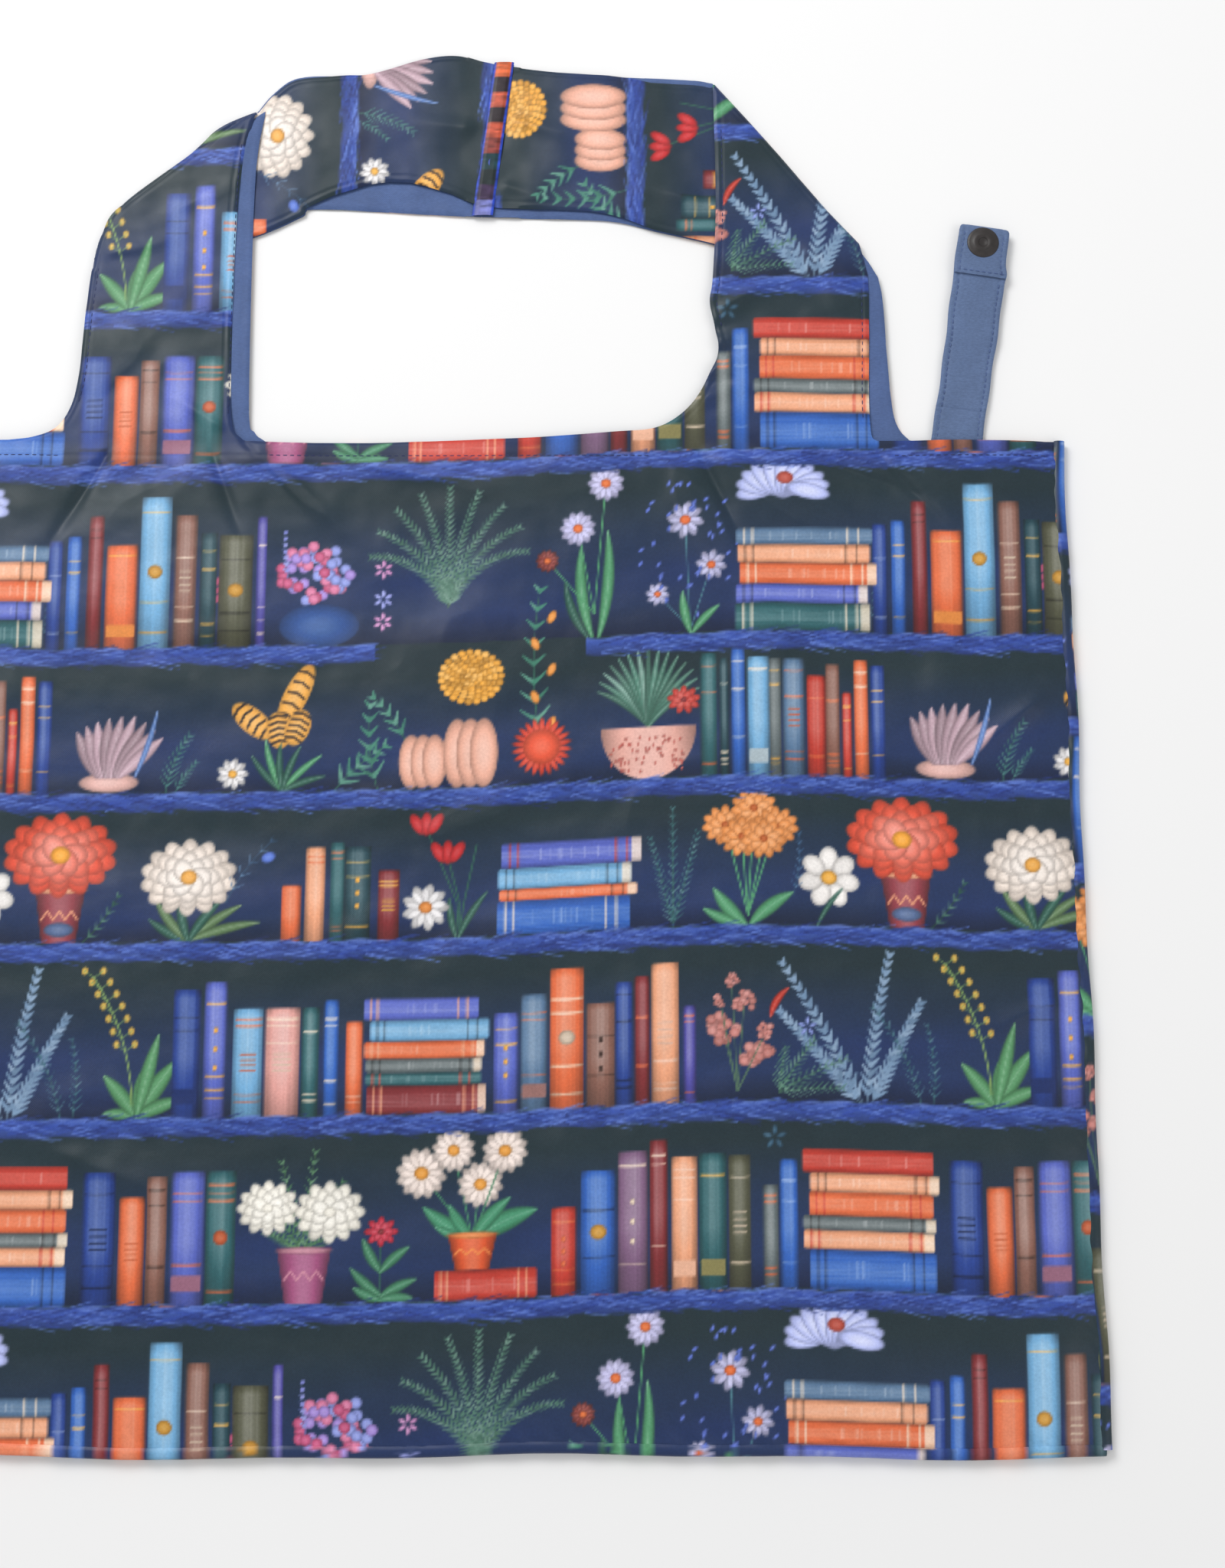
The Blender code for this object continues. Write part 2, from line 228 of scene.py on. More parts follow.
def book(u0, base, width, height, ink):
    """A book that stands on the shelf, with bands and a small ornament."""
    u1, top = u0 + width, base - height
    index, u, v = window(u0 - 0.1, u1 + 0.1, top - 0.1, base)
    across = np.clip((u - u0) / width, 0, 1)
    up = np.clip((base - v) / height, 0, 1)
    grain = rng.random(u.shape[1])[None, :] * 0.1 - 0.05
    light = 0.52 + 0.62 * np.sin(math.pi * np.clip(across * 0.92 + 0.06, 0, 1)) ** 0.7 + grain
    light = light * (0.72 + 0.36 * np.clip(up * 2.2, 0, 1))
    light = light - 0.25 * np.clip((up - 0.93) / 0.07, 0, 1)
    lay(index, soft(box_shape(u, v, u0, u1, top, base + 0.2)), shade_ink(ink, light))
    accent = [GOLD, CREAM, shade_ink(ink, 1.45), shade_ink(ink, 0.45), INK["or"]][rng.integers(5)]
    for share in sorted(rng.choice([0.1, 0.14, 0.2, 0.3, 0.68, 0.78, 0.84, 0.9], rng.integers(2, 5), False)):
        at = base - height * share
        band = soft(np.abs(v - at - 0.03 * np.sin(across * math.pi)) - 0.028 * rng.integers(1, 3), 0.05)
        lay(index, band * soft(np.abs(across - 0.5) * width - width / 2 + 0.05) * 0.75,
            shade_ink(accent, light))
    if width > 0.85:
        u_mid = (u0 + u1) / 2
        kind = rng.integers(4)
        if kind == 0:
            blob(u_mid, base - height * 0.5, width * 0.24, 0.3, 0,
                shade_ink(GOLD if accent.sum() < 1 else accent, 0.85))
        elif kind == 1:
            for k in range(4):
                at = base - height * (0.42 + 0.05 * k)
                stroke([(u0 + width * 0.25, at), (u1 - width * 0.25, at)], 0.06, shade_ink(accent, 0.85))
        elif kind == 2:
            index, u, v = window(u0, u1, base - height * 0.24, base - height * 0.08)
            label = box_shape(u, v, u0 + 0.06, u1 - 0.06, base - height * 0.22, base - height * 0.1)
            lay(index, soft(label), shade_ink((accent + ink) / 2, 0.95))
        else:
            for k in (0.36, 0.5, 0.64):
                blob(u_mid, base - height * k, 0.09, 0.12, 0, accent)


def flat_book(u0, base, width, height, ink):
    """A book that lies in a stack, spine outwards."""
    u1, top = u0 + width, base - height
    index, u, v = window(u0 - 0.1, u1 + 0.1, top - 0.1, base + 0.1)
    up = np.clip((base - v) / height, 0, 1)
    across = np.clip((u - u0) / width, 0, 1)
    grain = rng.random(u.shape[0])[:, None] * 0.14 - 0.07
    light = 0.55 + 0.6 * np.sin(math.pi * np.clip(up * 0.9 + 0.06, 0, 1)) ** 0.7 + grain
    lay(index, soft(box_shape(u, v, u0, u1, top, base, 0.12)), shade_ink(ink, light))
    accent = [CREAM, INK["re"], shade_ink(ink, 0.5), INK["pe"]][rng.integers(4)]
    for share in (0.06, 0.12, 0.82, 0.9):
        lay(index, soft(np.abs(across - share) * width - 0.05, 0.05)
            * soft(box_shape(u, v, u0, u1, top, base)) * 0.7,
            shade_ink(accent, light))
    if rng.random() < 0.5:
        lay(index, soft(box_shape(u, v, u0 + width * 0.93, u1, top, base)) * 0.8, shade_ink(CREAM, light))
    for k in range(int(width * 1.6)):
        at = u0 + width * (0.2 + 0.6 * rng.random())
        stroke([(at, base - height * 0.3), (at, base - height * 0.7)], 0.04, shade_ink(ink, 1.35))


def draw_ground():
    """The dark shelf backs: near black under each shelf and navy lower down, between the shelves."""
    depth = (np.arange(SWATCH_H) * RES)[:, None] * np.ones((1, SWATCH_W))
    across = (np.arange(SWATCH_W) * RES)[None, :] * np.ones((SWATCH_H, 1))
    edges = [FIRST_SHELF] + [SHELVES[r] for r in range(1, 6)]
    edges = [edges[-2] - REPEAT_DEPTH] + edges
    share = np.zeros_like(depth)
    for top, bottom in zip(edges, edges[1:]):
        inside = (depth >= top) & (depth < bottom)
        share[inside] = ((depth - top - SHELF_THICK) / (bottom - top - SHELF_THICK))[inside]
    share[depth >= edges[-1]] = 0
    cloud = 0.5 + 0.5 * np.sin(across * 2 * math.pi / REPEAT_ACROSS * 3 + depth * 0.9) * np.sin(depth * 1.7)
    blend = np.clip((share - 0.12) / 0.5, 0, 1)[..., None] * (0.75 + 0.25 * cloud[..., None])
    swatch[:] = hue("1d2e35") * (1 - blend) + hue("20325e") * blend
    swatch[:] *= (1 - 0.35 * np.clip((share - 0.82) / 0.18, 0, 1))[..., None]


def draw_shelves():
    for at in [SHELVES[r] for r in range(1, 6)]:
        index, u, v = window(0, REPEAT_ACROSS - RES * 3, at, at + SHELF_THICK)
        t = (v - at) / SHELF_THICK
        turn = u * 2 * math.pi / REPEAT_ACROSS
        wave = 0.05 * np.sin(turn * 9) + 0.03 * np.sin(turn * 23)
        cover = soft(np.abs(v - at - SHELF_THICK / 2 - wave) - SHELF_THICK / 2 + 0.04, 0.08)
        if at == SHELVES[1]:
            low, high = SHELF_GAP
            centre = np.mod(u - low, REPEAT_ACROSS)
            cover = np.minimum(cover, np.where(centre < high - low, 0, 1))
        lay(index, cover, shade_ink(hue("3a55a6"), 1.15 - 0.5 * t))
        for _ in range(520):
            u0 = rng.random() * REPEAT_ACROSS
            past_gap = np.mod(u0 + 0.5 - SHELF_GAP[0], REPEAT_ACROSS)
            if at == SHELVES[1] and past_gap < SHELF_GAP[1] - SHELF_GAP[0] + 1:
                continue
            v0 = at + SHELF_THICK * (0.08 + 0.84 * rng.random())
            rise = rng.choice([-0.28, -0.16, 0.14, 0.26])
            ink = [hue("1c2a66"), hue("5c78c8"), hue("2f489e"), hue("24387e")][rng.integers(4)]
            stroke([(u0, v0), (u0 + 0.55, v0 + rise * 0.6), (u0 + 1.0, v0 + rise)], 0.05, ink, 0.02, 0.06)


BOOKS = {
    1: "-18.6 .6 4.7 db; -17.8 .6 4.9 bl; -16.9 .6 5.8 dr; -16.1 1.3 4.5 or; -14.7 1.3 6.6 lb; "
    "-13.2 .9 5.8 br; -12.1 .7 5 dt; -11.3 1.4 4.9 ol; -9.7 .4 5.7 pu",
    2: "9.2 .7 5.3 te; 10 .4 5.1 dt; 10.5 .6 5.5 bl; 11.2 .9 5.1 lb; 12.1 .5 5 gr; 12.7 .9 5 gb; "
    "13.7 .8 4.3 re; 14.5 .6 4.8 br; 15.2 .4 3.6 re; 15.7 .6 5 or; 16.4 .6 4.8 db",
    3: "-8.3 .8 2.3 or; -7.3 .8 3.9 pe; -6.3 .6 4.1 te; -5.7 1.1 3.9 dt; -4.3 .9 2.9 dr",
    4: "-12.6 1.1 5.2 db; -11.3 .9 5.5 vb; -10.1 1.2 4.4 lb; -8.8 1.4 4.4 pk; -7.3 .7 4.4 te; "
    "-6.4 .6 4.7 bl; -5.5 .7 3.8 or; .6 1 4 vb; 1.7 1.1 4.7 gb; 2.9 1.4 5.7 or; 4.4 1.2 4.2 br; "
    "5.6 .7 5 db; 6.4 .6 5.2 dr; 7.1 1.1 5.7 pe; 8.4 .5 3.9 pu",
    5: "-16 1.3 5.3 db; -14.5 1 4.3 or; -13.4 .8 5.1 br; -12.4 1.3 5.3 vb; -11 1.2 5.3 te; "
    "3 1 3.5 re; 4.2 1.4 4.9 bl; 5.7 1.2 5.6 mv; 7 .7 6 dr; 7.9 1 5.3 pe; 9 1.1 5.4 te; "
    "10.2 .9 5.3 ol; 11.6 .6 4.1 gr; 12.3 .7 5.1 bl",
}
STACKS = (
    (1, 10.7, 5.9, "1.21 te; .81 vb; .94 or; .81 pe; .74 gb"),
    (3, 0.5, 5.9, "1.44 bl; .49 or; .88 lb; 1.05 vb"),
    (4, -4.8, 5.0, "1.16 dr; .52 te; .58 gr; .71 or; .87 lb; .9 vb"),
    (5, -1.8, 4.2, "1.21 re"),
    (5, 13.2, 5.5, "1.59 bl; .76 pe; .57 gr; .95 or; .76 pe; .95 re"),
)


def draw_books():
    for row, text in BOOKS.items():
        for item in text.split(";"):
            u0, width, height, ink = item.split()
            book(float(u0), SHELVES[row], float(width), float(height), INK[ink])
    for row, u0, width, text in STACKS:
        base = SHELVES[row]
        for item in text.split(";"):
            height, ink = item.split()
            flat_book(u0 + 0.35 * rng.random(), base, width - 0.5 * rng.random(), float(height), INK[ink])
            base -= float(height)


def draw_first_row():
    base = SHELVES[1]
    fern(-1.5, base - 1.6, 5.2, 9, 64, hue("4c7464"))
    for k in range(56):
        a, r = rng.random() * 2 * math.pi, rng.random() ** 0.5
        ink = [hue("d77aa0"), hue("a58ad6"), hue("8f9be0"), hue("c2557e")][k % 4]
        blob(-7.2 + 1.55 * r * math.cos(a), base - 3.2 - 1.3 * r * math.sin(a), 0.24, 0.24, 0, ink)
        blob(-10.7 + 0.55 * r * math.cos(a), base - 2.6 - 1.6 * r * math.sin(a), 0.22, 0.24, 0,
            ink if k % 2 else hue("d4638c"))
    sprig(-8.4, base - 3.0, 2.0, -8, 10, hue("7f86cf"), 6, 0.2, 0.14)
    blob(-7.0, base - 0.85, 1.7, 0.95, 0, hue("2c4f8e"))
    for v in (1.0, 2.0, 3.3):
        petals(-4.3, base - v, 0.42, 6, hue("c98bc0") if v != 2 else hue("9aa2e6"), 0.4)
    leaf(4.6, base, 4.0, -18, 0.5, LEAF, 25)
    leaf(4.9, base, 4.6, 14, 0.5, LEAF, -20)
    leaf(4.4, base, 2.6, -35, 0.4, DARK_LEAF, 30)
    for u, v, r in ((4.0, 4.75, 0.78), (5.2, 6.7, 0.8), (2.7, 3.4, 0.5)):
        stroke([(u, base - v), (4.7, base - 1)], 0.06, LEAF)
        daisy(u, base - v, r, hue("c9c6ee") if r > 0.6 else hue("8a3f3a"), hue("e0703a"))
    for u, v, r in ((8.6, 4.9, 0.82), (9.7, 2.9, 0.68), (7.4, 1.7, 0.52)):
        stroke([(u, base - v), (8.8, base - 0.1)], 0.05, BLUE_LEAF)
        daisy(u, base - v, r, hue("c4c3ea"), hue("e06a35"), 8)
    for k in range(44):
        a, r = rng.random() * 2 * math.pi, 0.9 + 1.6 * rng.random()
        blob(8.7 + 0.95 * r * math.cos(a), base - 3.7 - 1.25 * r * math.sin(a), 0.07, 0.15,
            60 * rng.random(), hue("5a70c8"))
    leaf(8.8, base, 1.8, -20, 0.4, LEAF)
    leaf(8.9, base, 1.6, 35, 0.35, LEAF)
    for k in range(11):
        a = math.radians(-100 + 20 * k)
        blob(12.8 + 1.1 * math.sin(a), base - 6.2 - 0.5 * math.cos(a), 0.36, 0.95, math.degrees(a),
            hue("b4bdf0"), 0.7, 1.4)
    blob(12.9, base - 6.7, 0.36, 0.28, 0, hue("b24a3c"))
    sprig(16.7, base - 0.3, 2.6, 0, 12, hue("33566e"), 8, 0.4, 0.1)


def draw_second_row():
    base = SHELVES[2]
    blob(-15.7, base - 0.45, 1.25, 0.42, 0, hue("dcaea6"))
    for k in range(9):
        a = -28 + 9 * k
        leaf(-16.2 + 0.12 * k, base - 0.7, 2.7 - 0.12 * abs(k - 5), a, 0.62,
            shade_ink(hue("c8a7b4"), 0.8 + 0.08 * (k % 3)), 6)
    leaf(-14.6, base - 0.7, 2.9, 22, 0.22, hue("5b7fc0"), -10)
    sprig(-13.3, base, 2.6, 8, 30, hue("3b6d6c"), 8, 0.55, 0.09)
    sprig(-12.9, base, 1.5, 25, 20, hue("3b6d6c"), 6, 0.35, 0.08)
    for u, v, turn, length in ((-9.7, 3.0, -50, 2.2), (-7.9, 4.1, 26, 2.9), (-8.6, 2.6, -8, 1.6),
        (-7.8, 2.7, 20, 1.6)):
        s, c = math.sin(math.radians(turn)), math.cos(math.radians(turn))
        blob(u, base - v, 0.52, length / 2, turn, hue("eba94e"), 0.8, 1.15)
        for k in range(5):
            t = (k - 2) * length * 0.17
            mid = np.array((u + t * s, base - v - t * c))
            stroke([mid - 0.36 * np.array((c, s)), mid + (0.1 * s, -0.1 * c),
                mid + 0.36 * np.array((c, s))], 0.11, hue("2a2426"))
    for turn, length in ((-50, 2.0), (-28, 2.3), (38, 2.2), (62, 1.9), (12, 2.0), (-12, 2.0)):
        leaf(-8.4, base, length, turn, 0.3, DARK_LEAF if length < 2.1 else LEAF)
    daisy(-10.5, base - 0.75, 0.68, WHITE, GOLD, 9)
    for start, size in ((-6.2, 2.8), (-4.4, 3.6)):
        sprig(start, base, size, 40 if start < -5 else -14, 20, hue("3f7d6a"), 5, 0.75, 0.2, 50)
    sprig(-3.2, base - 2.0, 2.4, -28, -20, hue("3f7d6a"), 4, 0.6, 0.18, 45)
    for u, width, height in ((-2.5, 1.75, 2.3), (-0.5, 2.0, 2.95)):
        for k in range(3):
            blob(u + (k - 1) * width * 0.28, base - height / 2, width * 0.3, height / 2, 0, hue("e7ac96"),
                0.72, 1.22)
    for ring in range(7):
        for k in range(5 + 3 * ring):
            a, r = 2 * math.pi * k / (5 + 3 * ring) + ring, ring * 0.21
            blob(-0.5 + r * math.cos(a), base - 4.75 - r * 0.85 * math.sin(a), 0.17, 0.15, 0,
                shade_ink(hue("eda53a"), 0.75 + 0.45 * rng.random()))
    sprig(2.4, base - 2.0, 6.4, -8, 18, hue("41816c"), 7, 0.8, 0.2, 55)
    for k in range(5):
        blob(2.55 + 0.35 * (-1) ** k, base - 2.6 - 1.15 * k, 0.17, 0.3, 25 * (-1) ** k, hue("e79545"))
    petals(2.5, base - 1.6, 1.25, 22, hue("cf3f2c"), 0.2, 0.3)
    blob(2.5, base - 1.6, 0.78, 0.76, 0, hue("e0563a"))
    for turn in np.linspace(-52, 52, 15):
        leaf(7.0, base - 2.2, 3.4 * math.cos(math.radians(turn * 0.7)), turn * 0.7, 0.3,
            shade_ink(hue("4c7f6e"), 0.7 + 0.5 * rng.random()), turn * 0.7)
    index, u, v = window(4.9, 9.1, base - 2.3, base)
    round_bowl = np.maximum(np.hypot((u - 7.0) / 2.0, (v - base + 2.1) / 2.15) - 1, (base - 2.2 - v) / 2)
    lay(index, soft(round_bowl * 1.6), shade_ink(hue("dfa79a"), 1.15 - 0.5 * ((u - 7.0) / 2.0) ** 2))
    for k in range(60):
        u, v = 5.4 + 3.2 * rng.random(), base - 0.3 - 1.5 * rng.random()
        blob(u, v, 0.05, 0.07, 0, hue("b4524a"))
    bloom(8.5, base - 3.3, 0.62, hue("c23c34"), hue("7c2b2f"), 2, 7)


def draw_third_row():
    base = SHELVES[3]
    sprig(-16.5, base, 2.4, 45, -20, DARK_LEAF, 5, 0.4, 0.1)
    pot(-17.5, base, 2.1, 2.3, hue("8c3a44"), hue("e7a07a"))
    blob(-17.5, base - 0.55, 0.62, 0.3, 0, hue("566a92"))
    bloom(-17.6, base - 3.7, 2.05, hue("e2523a"), hue("f0a43c"), 4, 12, 0.62)
    for turn, size in ((-70, 1.9), (-48, 2.3), (46, 2.6), (66, 3.0), (28, 2.2), (-22, 1.9)):
        leaf(-12.1, base, size, turn, 0.42, OLIVE_LEAF if size > 2.2 else DARK_LEAF)
    bloom(-12.2, base - 2.7, 1.75, hue("eedfd3"), hue("eba94e"), 4, 12, 0.7)
    sprig(-10.6, base - 1.6, 3.2, 25, 25, hue("3a5f86"), 4, 0.5, 0.06)
    blob(-8.9, base - 3.5, 0.22, 0.3, 70, hue("5a78d0"))
    for u, v, end in ((-2.3, 4.6, -1.0), (-1.4, 3.4, -0.9), (-0.2, 3.9, -0.7)):
        stroke([(u, base - v), (end, base - 1.5), (-0.9, base)], 0.07, DARK_LEAF)
        if u < -1:
            for turn in (-32, 0, 32):
                blob(u + 0.012 * turn, base - v - 0.2, 0.24, 0.5, turn, hue("c02c30"))
    leaf(-0.9, base, 2.2, 22, 0.3, DARK_LEAF)
    leaf(-1.0, base, 1.7, -20, 0.3, DARK_LEAF)
    daisy(-2.3, base - 1.3, 1.0, WHITE, hue("d8843a"), 9)
    for turn, size in ((0, 4.9), (-14, 3.8), (15, 4.0)):
        sprig(8.0, base, size, turn, 0, hue("3a6b70"), 13, 0.42, 0.07)
    leaf(11.0, base, 2.0, -50, 0.6, LEAF)
    leaf(11.2, base, 2.2, 44, 0.6, LEAF)
    leaf(10.8, base, 1.7, -75, 0.45, LEAF)
    for u, v in ((10.2, 4.2), (11.4, 4.9), (12.3, 4.1), (10.9, 3.7), (11.8, 3.6)):
        stroke([(u, base - v), (11.1, base - 0.4)], 0.07, LEAF)
        bloom(u, base - v, 0.85, hue("ea9350"), hue("b95a28"), 2, 9)
    petals(14.5, base - 2.0, 1.3, 7, hue("efeae6"), 0.62)
    blob(14.5, base - 2.0, 0.34, 0.3, 0, GOLD)
    leaf(14.0, base, 1.9, 25, 0.2, DARK_LEAF)
    sprig(13.0, base - 1.2, 2.6, 15, -20, hue("3a5f86"), 6, 0.32, 0.06)


def draw_fourth_row():
    base = SHELVES[4]
    for start, size, turn, bend in ((15.7, 6.4, -26, -8), (15.9, 6.1, 6, 8), (15.6, 4.8, -40, -4),
        (16.1, 4.6, 26, 2)):
        sprig(start, base, size, turn, bend, hue("6f8cab"), 15, 0.52, 0.23, 46)
    sprig(18.1, base, 4.3, -12, -30, hue("3c6a78"), 12, 0.45, 0.05)
    sprig(18.6, base, 3.2, 8, -24, hue("3c6a78"), 9, 0.4, 0.06)
    for turn, size, width in ((-72, 1.6, 0.55), (-34, 2.6, 0.75), (30, 3.3, 0.85), (60, 2.3, 0.7),
        (4, 2.2, 0.6), (12, 4.1, 0.7)):
        leaf(-14.0, base, size * 0.84, turn, width * 0.85, hue("538f60"), turn * 0.3)
    line = arc(-14.2, base - 0.5, 5.6, -4, -32, 10)
    stroke(line, 0.07, hue("7d9a5a"))
    for k, (u, v) in enumerate(line[4:]):
        for side in (-1, 1):
            blob(u + side * 0.38, v - 0.28, 0.13, 0.17, 0, hue("c9a54c"))
            stroke([(u, v), (u + side * 0.38, v - 0.28)], 0.035, hue("7d9a5a"))
    for u, v, r in ((10.4, 4.9, 0.32), (10.9, 4.0, 0.5), (10.0, 3.0, 0.75), (11.4, 1.9, 0.75),
        (11.8, 2.8, 0.4), (9.9, 4.1, 0.3)):
        stroke([(u, base - v), (10.6, base - 0.4)], 0.05, hue("4f6d55"))
        for k in range(16):
            a, d = rng.random() * 2 * math.pi, r * rng.random() ** 0.5 * 0.8
            blob(u + d * math.cos(a), base - v + d * math.sin(a), r * 0.3, r * 0.28, 0,
                shade_ink(hue("c97f78"), 0.85 + 0.3 * rng.random()))
    leaf(12.0, base - 3.4, 1.4, 12, 0.3, hue("b93226"), 45)
    petals(13.5, base - 3.0, 0.4, 5, hue("8a9be0"), 0.35)
    for turn, size in ((30, 2.6), (58, 3.1), (80, 2.6), (5, 1.8)):
        sprig(12.3, base - 0.3, size, turn, 10, hue("4c7a66"), 9, 0.5, 0.06)


def draw_fifth_row():
    base = SHELVES[5]
    for turn, size in ((-52, 2.1), (54, 2.5), (-30, 3.2), (26, 4.0), (6, 5.0), (-12, 4.6)):
        sprig(-7.1, base - 2.0, size * 0.8, turn, turn * 0.3, hue("4d7a55"), 9, 0.5, 0.09)
    pot(-7.0, base, 2.2, 2.2, hue("9c4f78"), hue("c98a9c"))
    bloom(-8.5, base - 3.8, 1.1, hue("f1ece0"), hue("f1ece0"), 3, 10)
    bloom(-6.0, base - 3.6, 1.25, hue("f1ece0"), hue("f1ece0"), 3, 10)
    stroke([(-3.9, base), (-3.9, base - 2.7)], 0.07, DARK_LEAF)
    for turn, size, up in ((-58, 1.6, 0.3), (55, 1.6, 0.2), (-38, 1.5, 1.2), (40, 1.5, 1.2),
        (-75, 1.2, 0.1), (78, 1.3, 0.1)):
        leaf(-3.9, base - up, size, turn, 0.42, hue("3f7d5c"))
    bloom(-3.9, base - 2.8, 0.6, hue("b9283c"), hue("7c2b2f"), 2, 6)
    sprig(-9.9, base, 1.9, -25, 15, hue("4d7a55"), 6, 0.4, 0.08)
    up = base - 1.21
    for turn, size, width in ((-66, 2.4, 0.7), (-44, 1.7, 0.5), (58, 2.8, 0.85), (34, 2.2, 0.6),
        (-80, 1.6, 0.4)):
        leaf(-0.2, up - 1.2, size, turn, width, hue("3f8a66"))
    for u, v, r in ((-2.3, 5.1, 1.05), (-1.0, 6.0, 0.9), (0.1, 4.6, 0.95), (1.1, 5.9, 0.95)):
        stroke([(u, base - v), (-0.2, up - 1.2)], 0.07, hue("3f7d5c"))
        daisy(u, base - v, r, hue("f0dfd6"), hue("e0983f"), 12)
    pot(-0.2, up, 2.0, 1.45, hue("d8562e"), hue("e98a4c"))
    petals(12.1, base - 6.0, 0.5, 5, hue("33566e"), 0.4)


draw_ground()
draw_first_row()
draw_second_row()
draw_third_row()
draw_fourth_row()
draw_fifth_row()
draw_books()
draw_shelves()

# ---------------------------------------------------------------- places, from the frame
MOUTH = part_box("front_mouth_hem_left")[1].y
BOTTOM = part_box("bottom_seam")[0].y
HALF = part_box("right_side_seam_upper")[1].x

STEP = 0.0008  # mesh spacing of the printed face
BACK_STEP = 0.0012
PLY = 0.00035
BAND = 28 * 0.0008  # the strip of front cloth under the mouth that belongs to the straps' cut
HEM = 0.0080  # depth of the turned hem at the mouth
HEM_STITCH = 0.0068  # its stitch line's depth
EDGE_STITCH = 0.0030  # how far in from the handles' edges their stitch lines run
CLEAR = 0.0004  # the underside's height over the surface that the bag lies on
SPLIT = -354 * 0.0008  # the front cloth changes from one piece to the next here, along a shelf

# the print runs a little uphill and down again across the bag
STRAP_SIDE = 0.06  # the right strap lies beyond this, the left one beyond minus this
LEAN_AT = (-17.5, -0.4, 4.0, 8.2, 12.5, 16.8, 21, 25)
LEAN = (0.10, 0.33, 0.52, 0.68, 0.70, 0.50, 0.24, 0.25)


def print_at(x, y):
    """Linear colour of the print at x across and y up from the mouth, both in metres."""
    depth = -y * 100
    across = x * 100
    # it also rises to the right, less so lower down
    depth = depth + (0.62 - 0.008 * depth) * np.clip((across + 3) / 28, 0, 1) ** 1.3
    depth = depth + np.interp(across, LEAN_AT, LEAN)
    # the straps' cloth is drawn up on the right, and down on the left along the strap's middle
    up = np.maximum(y, 0)
    right = ease((up - 0.002) / 0.045) * (x > STRAP_SIDE)
    left = ease((up - 0.01) / 0.04) * ease((0.135 - up) / 0.05) * (x < -STRAP_SIDE)
    depth = depth + 0.35 * right - 0.42 * left
    across = across - REPEAT_STEP * np.floor((depth - FIRST_SHELF) / REPEAT_DEPTH)
    return pick(across, depth)


def pick(across, depth):
    """The swatch's colour at these points, between its samples, as linear light."""
    c, r = across / RES, depth / RES
    c0, r0 = np.floor(c).astype(int), np.floor(r).astype(int)
    fc, fr = (c - c0)[..., None], (r - r0)[..., None]
    get = lambda i, j: swatch[np.mod(i, SWATCH_H), np.mod(j, SWATCH_W)]
    colour = (get(r0, c0) * (1 - fc) + get(r0, c0 + 1) * fc) * (1 - fr)
    colour += (get(r0 + 1, c0) * (1 - fc) + get(r0 + 1, c0 + 1) * fc) * fr
    colour = np.clip(colour, 0, 1)
    return np.where(colour < 0.04045, colour / 12.92, ((colour + 0.055) / 1.055) ** 2.4)


# ---------------------------------------------------------------- flat shapes
def smooth_line(points, n=8):
    """A Catmull-Rom curve through the points."""
    p = np.array(points, float)
    p = np.vstack([2 * p[0] - p[1], p, 2 * p[-1] - p[-2]])
    out = []
    for i in range(1, len(p) - 2):
        for t in np.linspace(0, 1, n, endpoint=False):
            a, b, c, d = p[i - 1 : i + 3]
            square, cube = (2 * a - 5 * b + 4 * c - d) * t**2, (3 * b - a - 3 * c + d) * t**3
            out.append(0.5 * (2 * b + (c - a) * t + square + cube))
    out.append(p[-2])
    return np.array(out)


def curve(points, n=8):
    return [tuple(p) for p in smooth_line(points, n)]


def inside(polygon, x, y):
    """Which of the points lie inside the closed polygon."""
    hit = np.zeros(x.shape, bool)
    for (x0, y0), (x1, y1) in zip(polygon, np.roll(polygon, -1, 0)):
        if y0 == y1:
            continue
        crosses = (y0 > y) != (y1 > y)
        hit ^= crosses & (x < (x1 - x0) * (y - y0) / (y1 - y0) + x0)
    return hit


def nearest(line, x, y, closed=True):
    """Distance of each point to the line, and the nearest place on it."""
    a = np.asarray(line, float)
    b = np.roll(a, -1, 0) if closed else a[1:]
    a = a if closed else a[:-1]
    best = np.full(x.shape, 9.0)
    px, py = x.copy(), y.copy()
    for (x0, y0), (x1, y1) in zip(a, b):
        dx, dy = x1 - x0, y1 - y0
        span = dx * dx + dy * dy
        if span < 1e-14:
            continue
        t = np.clip(((x - x0) * dx + (y - y0) * dy) / span, 0, 1)
        qx, qy = x0 + t * dx, y0 + t * dy
        d = np.hypot(x - qx, y - qy)
        near = d < best
        best = np.where(near, d, best)
        px, py = np.where(near, qx, px), np.where(near, qy, py)
    return best, px, py


